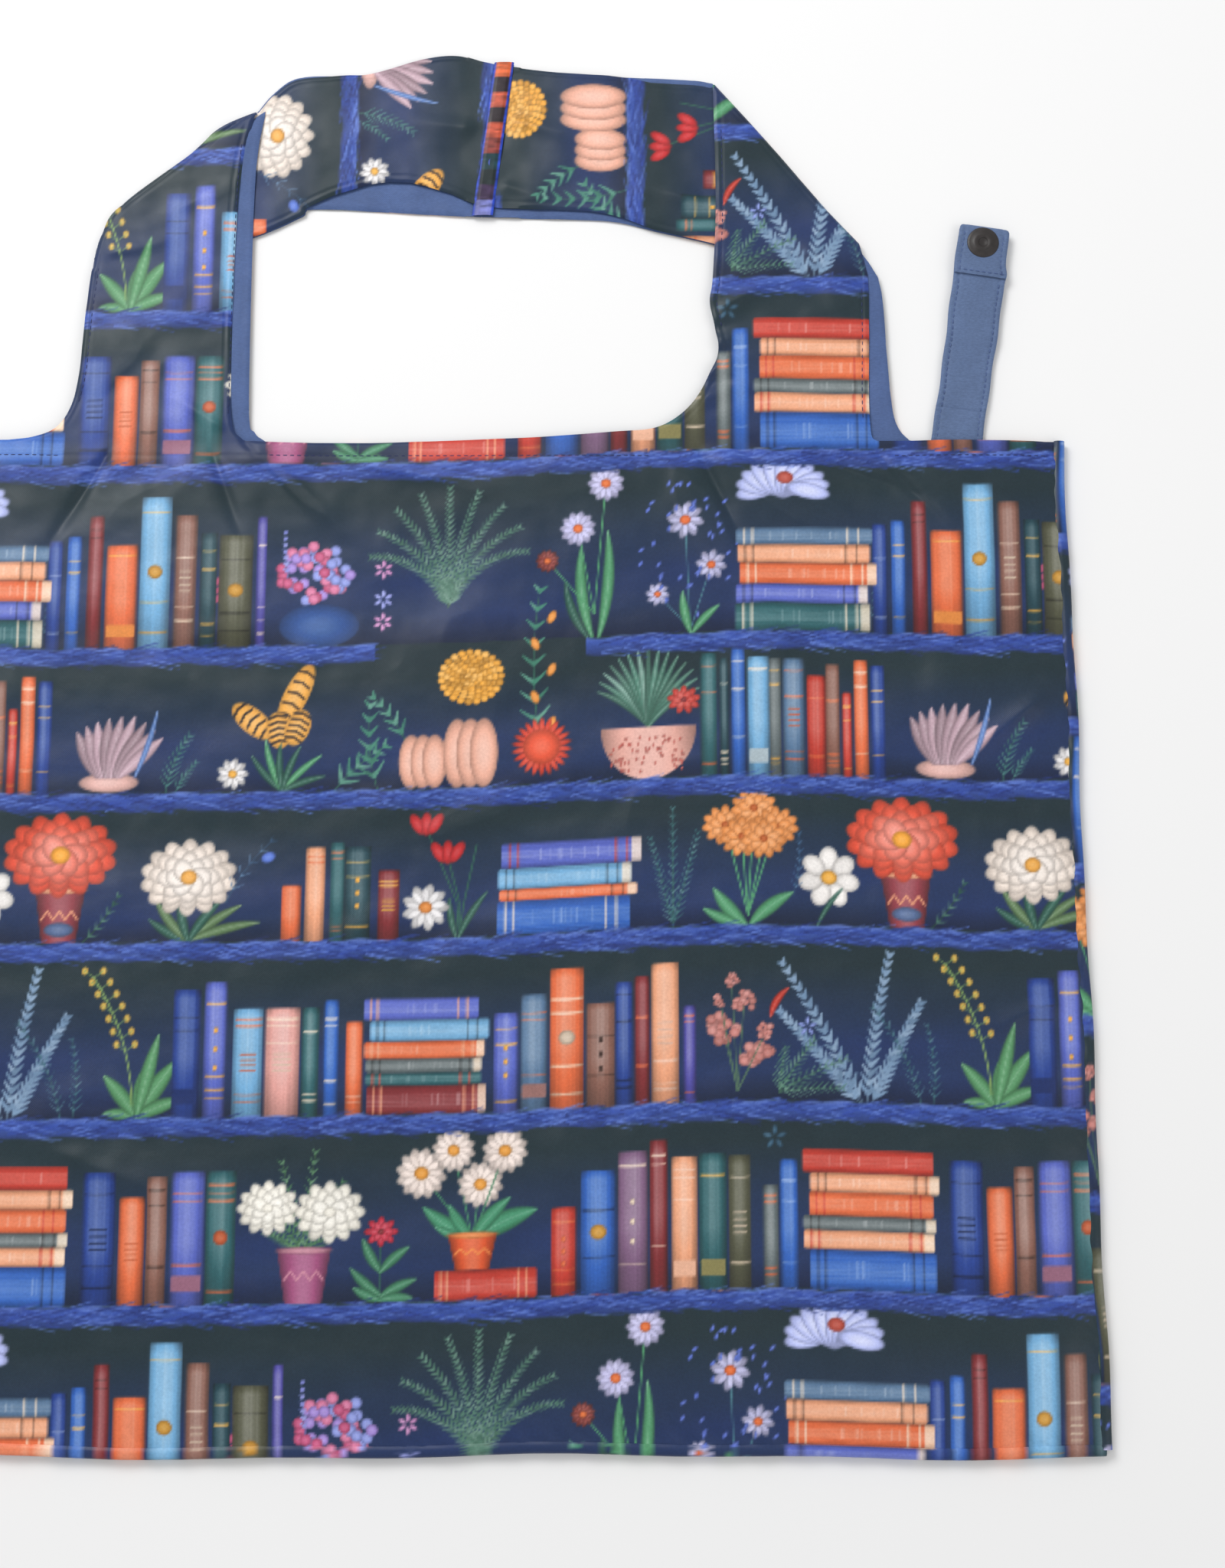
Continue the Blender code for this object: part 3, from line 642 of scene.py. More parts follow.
def lattice(polygon, step):
    """Points and quads of a square lattice cut to the polygon, its rim points moved onto the outline."""
    polygon = np.asarray(polygon, float)
    low, high = polygon.min(0), polygon.max(0)
    i = np.arange(math.floor(low[0] / step + 1e-6) - 1, math.ceil(high[0] / step - 1e-6) + 2)
    j = np.arange(math.floor(low[1] / step + 1e-6) - 1, math.ceil(high[1] / step - 1e-6) + 2)
    x, y = np.meshgrid(i * step, j * step)
    keep = inside(polygon, x, y)
    cell = keep[:-1, :-1] | keep[1:, :-1] | keep[:-1, 1:] | keep[1:, 1:]
    count = keep[:-1, :-1].astype(int) + keep[1:, :-1] + keep[:-1, 1:] + keep[1:, 1:]
    cell &= count >= 2
    used = np.zeros_like(keep)
    for dj in (0, 1):
        for di in (0, 1):
            used[dj : dj + cell.shape[0], di : di + cell.shape[1]] |= cell
    number = np.full(keep.shape, -1)
    number[used] = np.arange(used.sum())
    px, py = x[used], y[used]
    # rim points: those with a missing cell beside them
    around = np.zeros(keep.shape, int)
    for dj in (0, 1):
        for di in (0, 1):
            around[dj : dj + cell.shape[0], di : di + cell.shape[1]] += cell
    rim = around[used] < 4
    _, qx, qy = nearest(polygon, px[rim], py[rim])
    px[rim], py[rim] = qx, qy
    jj, ii = np.nonzero(cell)
    quads = np.stack([number[jj, ii], number[jj, ii + 1], number[jj + 1, ii + 1], number[jj + 1, ii]], 1)
    return px, py, quads


def add_object(name, mesh):
    obj = bpy.data.objects.new(name, mesh)
    bpy.context.scene.collection.objects.link(obj)
    return obj


def smooth_at_rest(mesh, co):
    """Smooth shading, and each point's rest place kept for the materials."""
    mesh.polygons.foreach_set("use_smooth", np.ones(len(mesh.polygons), bool))
    rest = mesh.attributes.new("rest", "FLOAT_VECTOR", "POINT")
    rest.data.foreach_set("vector", np.asarray(co, np.float32).ravel())


def grid_quads(rows, columns):
    """The quads of a grid of points that are numbered row by row."""
    index = np.arange(rows * columns).reshape(rows, columns)
    return np.stack([index[:-1, :-1], index[:-1, 1:], index[1:, 1:], index[1:, :-1]], -1).reshape(-1, 4)


def make_mesh(name, x, y, z, quads, colour=None, flip=False):
    """A mesh object of these quads, with its rest place and print colour kept on its points."""
    mesh = bpy.data.meshes.new(name)
    co = np.stack([x, y + MOUTH, z], 1).astype(np.float32)
    quads = quads[:, ::-1] if flip else quads
    mesh.vertices.add(len(co))
    mesh.vertices.foreach_set("co", co.ravel())
    mesh.loops.add(quads.size)
    mesh.loops.foreach_set("vertex_index", quads.astype(np.int32).ravel())
    mesh.polygons.add(len(quads))
    mesh.polygons.foreach_set("loop_start", np.arange(0, quads.size, 4, dtype=np.int32))
    mesh.update(calc_edges=True)
    # the cloth's cut edge stays crisp, so that two pieces that meet show no line between them
    side_of = np.zeros(quads.size, np.int32)
    mesh.loops.foreach_get("edge_index", side_of)
    sharp = mesh.attributes.new("sharp_edge", "BOOLEAN", "EDGE")
    sharp.data.foreach_set("value", np.bincount(side_of, minlength=len(mesh.edges)) == 1)
    smooth_at_rest(mesh, co)
    if colour is not None:
        shade = mesh.attributes.new("print", "FLOAT_COLOR", "POINT")
        shade.data.foreach_set("color", np.hstack([colour, np.ones((len(co), 1))]).astype(np.float32).ravel())
    return add_object(name, mesh)


def give_ply(obj, thickness, outer, inner):
    """Solid cloth: the outer material on the made face, the inner one on its back, turned in at the rim."""
    for material in (outer, inner):
        obj.data.materials.append(material)
    solid = obj.modifiers.new("ply", "SOLIDIFY")
    solid.thickness = thickness
    solid.offset = -1
    solid.material_offset = 1
    solid.material_offset_rim = 0
    solid.use_even_offset = False
    return obj


def ease(t):
    """Smooth step from nothing at 0 to one at 1."""
    t = np.clip(t, 0, 1)
    return t * t * (3 - 2 * t)


def bell(distance, width):
    """One at no distance, and falling away over this width."""
    return np.exp(-((distance / width) ** 2))


def quarter(t):
    """Height of a quarter circle: nothing at 0, one from 1 on."""
    return np.sqrt(np.maximum(1 - (1 - np.clip(t, 0, 1)) ** 2, 0))


# ---------------------------------------------------------------- how the cloth lies
def noise(x, y, size, seed):
    """Smooth noise of about one at its peaks, with bumps of this size in metres."""
    g = np.random.default_rng(seed).standard_normal((97, 97))
    u, v = x / size + 31.7, y / size + 17.3
    i, j = np.floor(u).astype(int), np.floor(v).astype(int)
    fu, fv = u - i, v - j
    fu, fv = fu * fu * fu * (fu * (fu * 6 - 15) + 10), fv * fv * fv * (fv * (fv * 6 - 15) + 10)
    at = lambda a, b: g[np.mod(a, 97), np.mod(b, 97)]
    row = lambda b: at(i, b) * (1 - fu) + at(i + 1, b) * fu
    return row(j) * (1 - fv) + row(j + 1) * fv


def crease(x, y, start, end, height, width, sharp=1.6):
    """A soft ridge from start to end, highest near its start."""
    (x0, y0), (x1, y1) = start, end
    dx, dy = x1 - x0, y1 - y0
    span = dx * dx + dy * dy
    t = ((x - x0) * dx + (y - y0) * dy) / span
    off = ((x - x0) * dy - (y - y0) * dx) / math.sqrt(span)
    fade = ease(t / 0.15) * ease((1 - t) / 0.75)
    return height * fade * np.exp(-np.abs(off / (width * (0.6 + 0.8 * np.clip(t, 0, 1)))) ** sharp)

SIM_STEP = 0.0085
SIM_FRAMES = 36


def settle():
    """Cloth simulation of the front panel, pinned along its seams and laid on the back one.
    Returns the height of a grid of points."""
    nx, ny = int(2 * HALF / SIM_STEP) + 1, int((MOUTH - BOTTOM) / SIM_STEP) + 1
    xs, ys = np.linspace(-HALF + 0.004, HALF - 0.004, nx), np.linspace(BOTTOM - MOUTH + 0.004, 0, ny)
    x, y = np.meshgrid(xs, ys)
    z = 0.005 + 0.0012 * noise(x, y, 0.05, 3)
    index = np.arange(nx * ny).reshape(ny, nx)
    sheet = make_mesh("settling", x.ravel(), y.ravel(), z.ravel(), grid_quads(ny, nx))
    pins = sheet.vertex_groups.new(name="pins")
    rim = sorted(set(index[0]) | set(index[:, 0]) | set(index[:, -1]))
    pins.add([int(i) for i in rim], 1.0, "REPLACE")
    pins.add([int(i) for i in index[-1, :: 6]], 0.8, "REPLACE")
    plane = bpy.data.meshes.new("under")
    plane.from_pydata([(-1, -1, 0.0012), (1, -1, 0.0012), (1, 1, 0.0012), (-1, 1, 0.0012)], [],
        [(0, 1, 2, 3)])
    under = add_object("under", plane)
    under.modifiers.new("Collision", "COLLISION")
    under.collision.thickness_outer = 0.001
    cloth = sheet.modifiers.new("Cloth", "CLOTH")
    cloth.settings.quality = 6
    cloth.settings.mass = 0.15
    cloth.settings.tension_stiffness = 25
    cloth.settings.compression_stiffness = 25
    cloth.settings.shear_stiffness = 8
    cloth.settings.bending_stiffness = 0.35
    cloth.settings.tension_damping = 15
    cloth.settings.vertex_group_mass = "pins"
    cloth.settings.shrink_min = -0.004
    cloth.settings.shrink_max = -0.004
    cloth.collision_settings.distance_min = 0.001
    cloth.point_cache.frame_end = SIM_FRAMES
    scene = bpy.context.scene
    for number in range(1, SIM_FRAMES + 1):
        scene.frame_set(number)
    done = sheet.evaluated_get(bpy.context.evaluated_depsgraph_get())
    co = np.array([v.co for v in done.data.vertices])
    scene.frame_set(1)
    bpy.data.objects.remove(sheet)
    bpy.data.objects.remove(under)
    return xs, ys, co[:, 2].reshape(ny, nx)


settled = settle()


def spline(t):
    """The four weights of a cubic B-spline."""
    return (1 - t) ** 3 / 6, (3 * t**3 - 6 * t**2 + 4) / 6, (-3 * t**3 + 3 * t**2 + 3 * t + 1) / 6, t**3 / 6


def settled_at(x, y):
    """How far the simulated cloth stands above its own mean here."""
    if settled is None:
        return 0 * x
    xs, ys, height = settled
    height = np.clip(height - np.median(height), -0.0025, 0.004)
    u = np.clip((x - xs[0]) / (xs[1] - xs[0]), 0, len(xs) - 1.001)
    v = np.clip((y - ys[0]) / (ys[1] - ys[0]), 0, len(ys) - 1.001)
    i, j = np.floor(u).astype(int), np.floor(v).astype(int)
    wu, wv = spline(u - i), spline(v - j)
    total = 0 * x
    for b in range(4):
        for a in range(4):
            row, column = np.clip(j + b - 1, 0, len(ys) - 1), np.clip(i + a - 1, 0, len(xs) - 1)
            total += wu[a] * wv[b] * height[row, column]
    return total


# ---------------------------------------------------------------- outlines, across and up from the mouth
DEEP = BOTTOM - MOUTH
WRAP = 0.0048  # width of the back cloth's edge seen from the front
WRAP_RADIUS = 0.0019  # of the turn at the edge


def side(y):
    """The body's half width at this height: a little wider at the bottom, and not quite straight."""
    return 0.2502 + 0.0046 * np.clip(-y / 0.425, 0, 1) + 0.0004 * np.sin(y * 43) + 0.0003 * np.sin(y * 97 + 1)


def foot(x):
    """The bottom edge, which wavers a little."""
    return DEEP + 0.0012 + 0.0009 * np.sin(x * 21 + 0.6) + 0.0005 * np.sin(x * 57)


LEFT_OUTER = [(-0.1037, 0.1535), (-0.1198, 0.1451), (-0.1317, 0.1342), (-0.1619, 0.1093), (-0.1699, 0.0963),
    (-0.1736, 0.0799), (-0.1754, 0.0601)]
LEFT_FOOT = [(-0.1762, 0.046), (-0.1772, 0.030), (-0.1800, 0.0165), (-0.1860, 0.0065), (-0.1955, 0.0018),
    (-0.2060, 0.0003)]
LEFT_INNER = [(-0.0985, -0.0002), (-0.1065, 0.0020), (-0.1100, 0.0085), (-0.1112, 0.030), (-0.1112, 0.085),
    (-0.1092, 0.125)]
MOUTH_LINE = [(0.0750, 0.0069), (0.0561, 0.0044), (0.0200, 0.0018), (-0.0200, 0.0002), (-0.0600, -0.0008)]
RIGHT_INNER = [(0.0995, 0.1677), (0.0999, 0.1450), (0.1003, 0.1222), (0.1002, 0.1017), (0.0987, 0.0743),
    (0.0974, 0.0640), (0.0996, 0.0520), (0.1009, 0.0411), (0.0970, 0.0309), (0.0886, 0.0166)]
RIGHT_OUTER = [(0.1690, 0.0002), (0.1668, 0.0035), (0.1662, 0.0198), (0.1668, 0.0500), (0.1669, 0.0728),
    (0.1659, 0.0799), (0.1631, 0.0917)]
RIGHT_SLANT = [(0.1631, 0.0917), (0.1499, 0.1064), (0.1253, 0.1371), (0.0995, 0.1677)]
LEFT_SLANT = [(-0.1736, 0.0799), (-0.1699, 0.0963), (-0.1619, 0.1093), (-0.1317, 0.1342), (-0.1037, 0.1535)]
CROWN_TOP = [(-0.1037, 0.1535), (-0.0962, 0.1630), (-0.0858, 0.1703), (-0.0650, 0.1714), (-0.0528, 0.1721),
    (-0.0303, 0.1788), (-0.0146, 0.1806), (-0.0023, 0.1777), (0.0073, 0.1758), (0.0360, 0.1721),
    (0.0868, 0.1696), (0.0995, 0.1677)]
CROWN_FOOT = [(0.1450, 0.0800), (0.0989, 0.0917), (0.0753, 0.0974), (0.0588, 0.1017), (0.0423, 0.1032),
    (-0.0086, 0.1046), (-0.0741, 0.1082), (-0.0825, 0.1046), (-0.1021, 0.0953), (-0.1400, 0.0830)]


def side_run(low, high, sign, inset):
    ys = np.arange(low, high + 1e-9, (high - low) / max(2, int((high - low) / 0.006)))
    return [(sign * (side(y) - inset), y) for y in ys]


TINY = 1e-6  # keeps two pieces that meet from taking the same row of points
INSET = 0.0026  # how far inside the body's edge the front cloth ends
top_outline = np.array(
    [(-side(-HEM) + INSET, -HEM), (-side(-BAND) + INSET, -BAND + TINY), (side(-BAND) - INSET, -BAND + TINY)]
    + [(side(-HEM) - INSET, -HEM), (side(0) - 0.0006, 0.0), (0.2100, 0.0004)]
    + curve(RIGHT_OUTER)
    + curve(RIGHT_SLANT)[1:]
    + curve(RIGHT_INNER + MOUTH_LINE + LEFT_INNER + LEFT_OUTER[:1])[1:]
    + curve(LEFT_OUTER + LEFT_FOOT)[1:]
    + [(-side(0) + 0.0006, 0.0)]
)
upper_outline = np.array(side_run(SPLIT + TINY, -BAND - TINY, 1, INSET)
    + side_run(SPLIT + TINY, -BAND - TINY, -1, INSET)[::-1])
bottom_run = [(x, float(foot(x)) + INSET) for x in np.linspace(-side(DEEP) + INSET, side(DEEP) - INSET, 80)]
lower_outline = np.array(
    bottom_run + side_run(DEEP + 0.006, SPLIT - TINY, 1, INSET)
    + side_run(DEEP + 0.006, SPLIT - TINY, -1, INSET)[::-1]
)


def front_height(x, y):
    """Height of the front cloth's outer face over the surface that the bag lies on."""
    e = np.minimum(side(np.minimum(y, 0)) - np.abs(x), y - foot(x))
    z = 0.0037 + 0.0017 * ease((e - 0.003) / 0.022) + 0.0003 * ease((e - 0.02) / 0.1)
    folds = 0.00070 * noise(x + 0.4 * y, y - 0.3 * x, 0.085, 5)
    folds = folds + 0.00038 * noise(x - 0.5 * y, 1.6 * y, 0.034, 6)
    folds += 0.00011 * noise(x * 1.5, y, 0.013, 8)
    folds += 0.45 * settled_at(x, np.minimum(y, 0))
    for start, end, height, width in FOLDS:
        folds += 2.3 * crease(x, y, start, end, height, width)
    z += folds * ease((e - 0.001) / 0.02) * (1 - 0.5 * ease((y + 0.03) / 0.03))
    # small puckers where the side and bottom seams draw the cloth in
    pull = np.exp(-np.maximum(e - 0.004, 0) / 0.007)
    z += pull * 0.00028 * np.sin((x + y) * 2 * math.pi / 0.013
        + 2 * noise(x, y, 0.02, 9)) * ease((e - 0.003) / 0.003)
    z -= 0.0009 * ease((y + 0.010) / 0.010)
    # the folds stay low where the handles come to lie on the front
    under_handles = ease((0.21 + y) / 0.025) * ease((0.20 - np.abs(x)) / 0.020)
    z = z - 0.0011 * under_handles
    z = z - 0.8 * np.maximum(z - 0.0057, 0) * under_handles
    # the hem's inner fold and its stitch line
    z -= 0.00022 * bell(y + HEM_STITCH, 0.0007)
    return np.maximum(z, 0.0030)


FOLDS = (
    ((0.090, 0.000), (0.215, -0.075), 0.0016, 0.0090),
    ((0.075, -0.004), (0.150, -0.120), 0.0011, 0.0080),
    ((0.165, -0.004), (0.235, -0.070), 0.0009, 0.0060),
    ((-0.106, 0.000), (-0.050, -0.050), 0.0012, 0.0045),
    ((-0.120, -0.005), (-0.190, -0.110), 0.0010, 0.0080),
    ((0.060, -0.150), (0.130, -0.235), 0.0010, 0.0110),
    ((-0.030, -0.175), (0.060, -0.140), 0.0009, 0.0090),
    ((-0.180, -0.300), (-0.060, -0.345), 0.0008, 0.0100),
    ((0.240, -0.110), (0.180, -0.160), 0.0010, 0.0060),
    ((0.243, -0.240), (0.190, -0.262), 0.0008, 0.0050),
    ((-0.060, -0.010), (0.050, -0.028), 0.0007, 0.0050),
    # sharper valleys that run out from the straps' feet
    ((0.100, 0.006), (0.162, -0.052), -0.0011, 0.0032),
    ((0.090, 0.000), (0.122, -0.070), -0.0009, 0.0030),
    ((0.112, 0.004), (0.212, -0.034), -0.0011, 0.0030),
    ((0.140, 0.000), (0.190, -0.022), -0.0007, 0.0024),
    ((0.164, 0.000), (0.215, -0.058), -0.0009, 0.0030),
    ((-0.108, 0.004), (-0.076, -0.034), -0.0009, 0.0026),
    ((-0.120, 0.000), (-0.098, -0.060), -0.0007, 0.0030),
    ((-0.160, 0.000), (-0.196, -0.064), -0.0009, 0.0032),
)
STRAP_FACE = 0.0038  # heights of the upper faces of the handles' layers
BACK_STRAP_FACE = 0.0027
UPPER_CROWN_FACE = 0.0019
UNDER_CROWN_FACE = 0.0010
FOLD_MIDDLE = 0.0025


def roll(z, middle, d, radius):
    """Height of a face that turns down to the middle of a fold over its last radius."""
    return middle + (z - middle) * quarter(d / radius)


def top_height(x, y):
    """The front cloth's top strip and the straps that grow out of it."""
    rim, _, _ = nearest(top_outline, x, y)
    z = front_height(x, y)
    strap = STRAP_FACE + 0.00055 * noise(x, y * 0.6, 0.03, 12) + 0.00018 * noise(x, y, 0.010, 13)
    bend = ease((y - 0.002) / 0.035)
    z = z * (1 - bend) + strap * bend
    # gathers at the right strap's inner foot, and the creases that the folds leave
    gathered = np.exp(-(((x - 0.098) / 0.010) ** 2 + ((y - 0.038) / 0.020) ** 2))
    z += 0.0010 * gathered * np.sin((y - 0.3 * x) * 2 * math.pi / 0.012)
    for start, end, height, width in STRAP_FOLDS:
        z += 1.5 * crease(x, y, start, end, height, width)
    z = np.where(y > 0.02, z - 0.8 * np.maximum(z - 0.0045, 0), z)
    edge = (y > 0.004) & (rim < 0.0045)
    hem = np.where(edge, -0.00028 * bell(rim - EDGE_STITCH, 0.0005), 0)
    z = z + hem * ease((y - 0.004) / 0.01)
    slant = np.minimum(*[nearest(line, x, y, False)[0] for line in (LEFT_SLANT, RIGHT_SLANT)])
    z = np.where(y > 0.05, roll(z, FOLD_MIDDLE, slant, 0.0028), z)
    return z - 0.0007 * (1 - ease(rim / 0.0012)) * (y > -HEM + 0.001)


STRAP_FOLDS = (
    ((-0.112, 0.004), (-0.150, 0.030), 0.0008, 0.0035),
    ((-0.172, 0.020), (-0.135, 0.060), 0.0006, 0.0045),
    ((0.102, 0.035), (0.140, 0.010), 0.0010, 0.0040),
    ((0.100, 0.060), (0.135, 0.078), 0.0007, 0.0035),
    ((0.164, 0.070), (0.125, 0.100), 0.0007, 0.0040),
    ((-0.110, 0.120), (-0.150, 0.100), 0.0007, 0.0040),
    ((-0.170, 0.085), (-0.125, 0.095), 0.0005, 0.0035),
)

front_pieces = {}


def build_front():
    for name, outline, height in (
        ("front_cloth_top", top_outline, top_height),
        ("front_cloth_upper", upper_outline, front_height),
        ("front_cloth_lower", lower_outline, front_height),
    ):
        x, y, quads = lattice(outline, STEP)
        front_pieces[name] = make_mesh(name, x, y, height(x, y), quads, print_at(x, y))


build_front()


# ---------------------------------------------------------------- the back cloth and its wrapped edges
def wrap_profile(reach):
    """Points across an edge: (distance in from the edge, height, length along the cloth past the flat)."""
    out = []
    for t in np.linspace(0, math.pi, 9):
        out.append((WRAP_RADIUS * (1 - math.sin(t)), WRAP_RADIUS * (1 - math.cos(t)) + CLEAR,
            WRAP_RADIUS * t))
    for t in np.linspace(0, 1, 6)[1:]:
        d = WRAP_RADIUS + t * (reach - WRAP_RADIUS)
        out.append((d, 2 * WRAP_RADIUS + CLEAR + 0.00025 * math.sin(math.pi * t) - 0.0006 * t**2,
            WRAP_RADIUS * math.pi + d - WRAP_RADIUS))
    return out


def build_back(name, low, high):
    flat = np.arange(-0.246, 0.2461, BACK_STEP)
    profile = wrap_profile(WRAP)
    ys = np.linspace(low, high, int((high - low) / BACK_STEP) + 1)
    columns = []
    for sign in (-1, 1):
        run = [(sign, d, h, s) for d, h, s in profile]
        columns.append(run[::-1] if sign < 0 else run)
    x, y, z, c = [], [], [], []
    for v in ys:
        edge = float(side(v))
        left = [(-(edge - d), h, -(edge + s)) for _, d, h, s in columns[0]]
        right = [((edge - d), h, edge + s) for _, d, h, s in columns[1]]
        row = left + [(u, CLEAR, u) for u in flat] + right
        x += [r[0] for r in row]
        z += [r[1] for r in row]
        c += [r[2] for r in row]
        y += [v] * len(row)
    x, y, z, c = map(np.array, (x, y, z, c))
    over = z > WRAP_RADIUS
    z = z + np.where(over, 0.00022 * np.sin(y * 2 * math.pi / 0.017 + 2 * noise(x, y, 0.03, 21))
        * ease((z - 0.0025) / 0.002), 0)
    z = z + np.where(over, 0, 0.0006 * np.clip(noise(x, y, 0.05, 22) * 0.5 + 0.3, 0, 1)
        * ease((side(y) - np.abs(x)) / 0.02))
    quads = grid_quads(len(ys), len(x) // len(ys))
    # seen from outside, the back's print runs the other way across
    colour = print_at(-c + 0.012, y + 0.03)
    return make_mesh(name, x, y, z, quads, colour, flip=True)


back_upper = build_back("back_cloth_upper", SPLIT, 0.0)
back_lower = build_back("back_cloth_lower", DEEP + 0.004, SPLIT)


def build_bottom_wrap():
    """The turned-up strip along the bottom edge."""
    xs = np.arange(-side(DEEP) + 0.0008, side(DEEP) - 0.0008, 0.0024)
    profile = [(0.012, CLEAR, -0.012)] + wrap_profile(WRAP)
    x, y, z, c = [], [], [], []
    for u in xs:
        end = min(u - xs[0], xs[-1] - u)
        for d, h, s in profile:
            x.append(u)
            y.append(float(foot(u)) + d)
            over = h > WRAP_RADIUS
            z.append(h + (0.0003 if over else -0.0001) - 0.0012 * math.exp(-end / 0.001) * over)
            c.append(s)
    x, y, z, c = map(np.array, (x, y, z, c))
    z += np.where(z > WRAP_RADIUS, 0.0002 * np.sin(x * 2 * math.pi / 0.019 + 2 * noise(x, y, 0.03, 31)), 0)
    index = np.arange(len(x)).reshape(len(xs), len(profile))
    quads = np.stack([index[:-1, :-1], index[1:, :-1], index[1:, 1:], index[:-1, 1:]], -1).reshape(-1, 4)
    return make_mesh("bottom_wrap", x, y, z, quads, print_at(x, foot(x) + WRAP - (profile[-1][2] - c)))


bottom_wrap = build_bottom_wrap()


# ---------------------------------------------------------------- the back handle's straps, inside face up
def strap_face(outline, slant, face, seed):
    """The height of a back strap's upper face, as a function of the place."""

    def height(x, y):
        rim, _, _ = nearest(outline, x, y)
        z = face + 0.0002 * noise(x, y * 0.6, 0.03, seed) + 0.0001 * noise(x, y, 0.009, seed + 1)
        z = 0.0016 + (z - 0.0016) * ease((y + 0.008) / 0.03)
        z -= 0.00025 * bell(rim - EDGE_STITCH, 0.0005) * ease((y - 0.004) / 0.01)
        far = nearest(np.array(slant), x, y, False)[0]
        z = np.where(y > 0.05, roll(z, FOLD_MIDDLE - 0.0001, far, 0.0024), z)
        return z - 0.0005 * (1 - ease(rim / 0.0010))

    return height


back_left_slant = [(-0.1668, 0.0820), (-0.1632, 0.0965), (-0.1555, 0.1085), (-0.1260, 0.1335),
    (-0.0995, 0.1540)]
back_left_outline = np.array(
    [(-0.1900, -HEM), (-0.0930, -HEM), (-0.0930, -0.0012)]
    + curve([(-0.0960, 0.0006), (-0.1005, 0.0045), (-0.1032, 0.0150), (-0.1038, 0.0900), (-0.1028, 0.1300),
        (-0.0995, 0.1540)])
    + curve(back_left_slant[::-1])[1:]
    + [(-0.1690, 0.0500), (-0.1710, 0.0200), (-0.1800, 0.0040), (-0.1900, 0.0000)]
)
back_right_slant = [(0.1712, 0.0757), (0.1640, 0.0870), (0.1480, 0.1040), (0.1230, 0.1340), (0.1000, 0.1600)]
back_right_outline = np.array(
    [(0.0900, -HEM), (0.1900, -HEM), (0.1900, -0.0005)]
    + curve([(0.1835, 0.0010), (0.1790, 0.0060), (0.1762, 0.0152), (0.1745, 0.0369), (0.1731, 0.0640),
        (0.1712, 0.0757)])
    + curve(back_right_slant)[1:]
    + [(0.1035, 0.1300), (0.1060, 0.0900), (0.1060, 0.0420), (0.0990, 0.0160), (0.0900, 0.0050)]
)


def build_back_strap(name, outline, slant, seed):
    x, y, quads = lattice(outline, BACK_STEP)
    z = strap_face(outline, slant, BACK_STRAP_FACE, seed)(x, y) - PLY
    return make_mesh(name, x, y, z, quads, print_at(0.3 - x, y + 0.03), flip=True)


back_left_strap = build_back_strap("back_left_strap_cloth", back_left_outline, back_left_slant, 41)
back_right_strap = build_back_strap("back_right_strap_cloth", back_right_outline, back_right_slant, 43)


# ---------------------------------------------------------------- crowns of the two handles
CENTRE = 0.0018  # where the crown's centre seam crosses its middle
BAND_HALF = 0.0046  # half the width of the tape over it


def centre_at(y):
    """The covered centre seam leans a little."""
    return CENTRE + 0.0045 * (y - 0.14) / 0.036


def crown_outline(sign, drop, lift):
    """Half a crown, from the centre seam to the slanting fold under the strap."""
    top, low = smooth_line(CROWN_TOP, 6), smooth_line(CROWN_FOOT, 8)
    top[:, 1] -= [drop(x) for x in top[:, 0]]
    low[:, 1] += [lift(x) for x in low[:, 0]]
    slant = RIGHT_SLANT if sign > 0 else LEFT_SLANT
    inner_top = float(np.interp(CENTRE, top[:, 0], top[:, 1]))
    inner_low = float(np.interp(CENTRE, low[::-1, 0], low[::-1, 1]))
    top = top[(top[:, 0] - centre_at(0.178)) * sign > 0]
    low = low[(low[:, 0] - centre_at(0.104)) * sign > 0]
    centre = [(centre_at(inner_top), inner_top), (centre_at(inner_low), inner_low)]
    slope = curve(slant, 6)
    if sign > 0:
        return np.array([centre[0], centre[1]] + [tuple(p) for p in low[::-1]] + slope
            + [tuple(p) for p in top[::-1]])
    return np.array([centre[0]] + [tuple(p) for p in top[::-1]] + slope[::-1]
        + [tuple(p) for p in low[::-1]] + [centre[1]])


def crown_height(outline, sign, face, upper):
    """The height of half a crown's upper face, as a function of the place."""
    slant = np.array(RIGHT_SLANT if sign > 0 else LEFT_SLANT)

    def height(x, y):
        rim, _, _ = nearest(outline, x, y)
        calm = ease((0.110 - np.abs(x)) / 0.02)  # where the straps press on it
        z = face + (0.00045 if upper else 0.0002) * calm * noise(x, y, 0.03, 51 + sign)
        z = z + 0.00014 * calm * noise(x, y, 0.009, 53)
        if upper:
            z = z + 0.0007 * ease((np.abs(x) - 0.004) / 0.02) * ease((0.095 - np.abs(x)) / 0.03)
            for start, end, height_, width in CROWN_FOLDS:
                z = z + 1.6 * crease(x, y, start, end, height_, width)
            z -= 0.00030 * bell(rim - EDGE_STITCH, 0.0005)
        far = nearest(slant, x, y, False)[0]
        z = np.where(np.abs(x) > 0.1, roll(z, FOLD_MIDDLE - 0.0004 * upper, far, 0.0022), z)
        return z - 0.0006 * (1 - ease(rim / 0.0012)) * (np.abs(x - CENTRE) > 0.012)

    return height


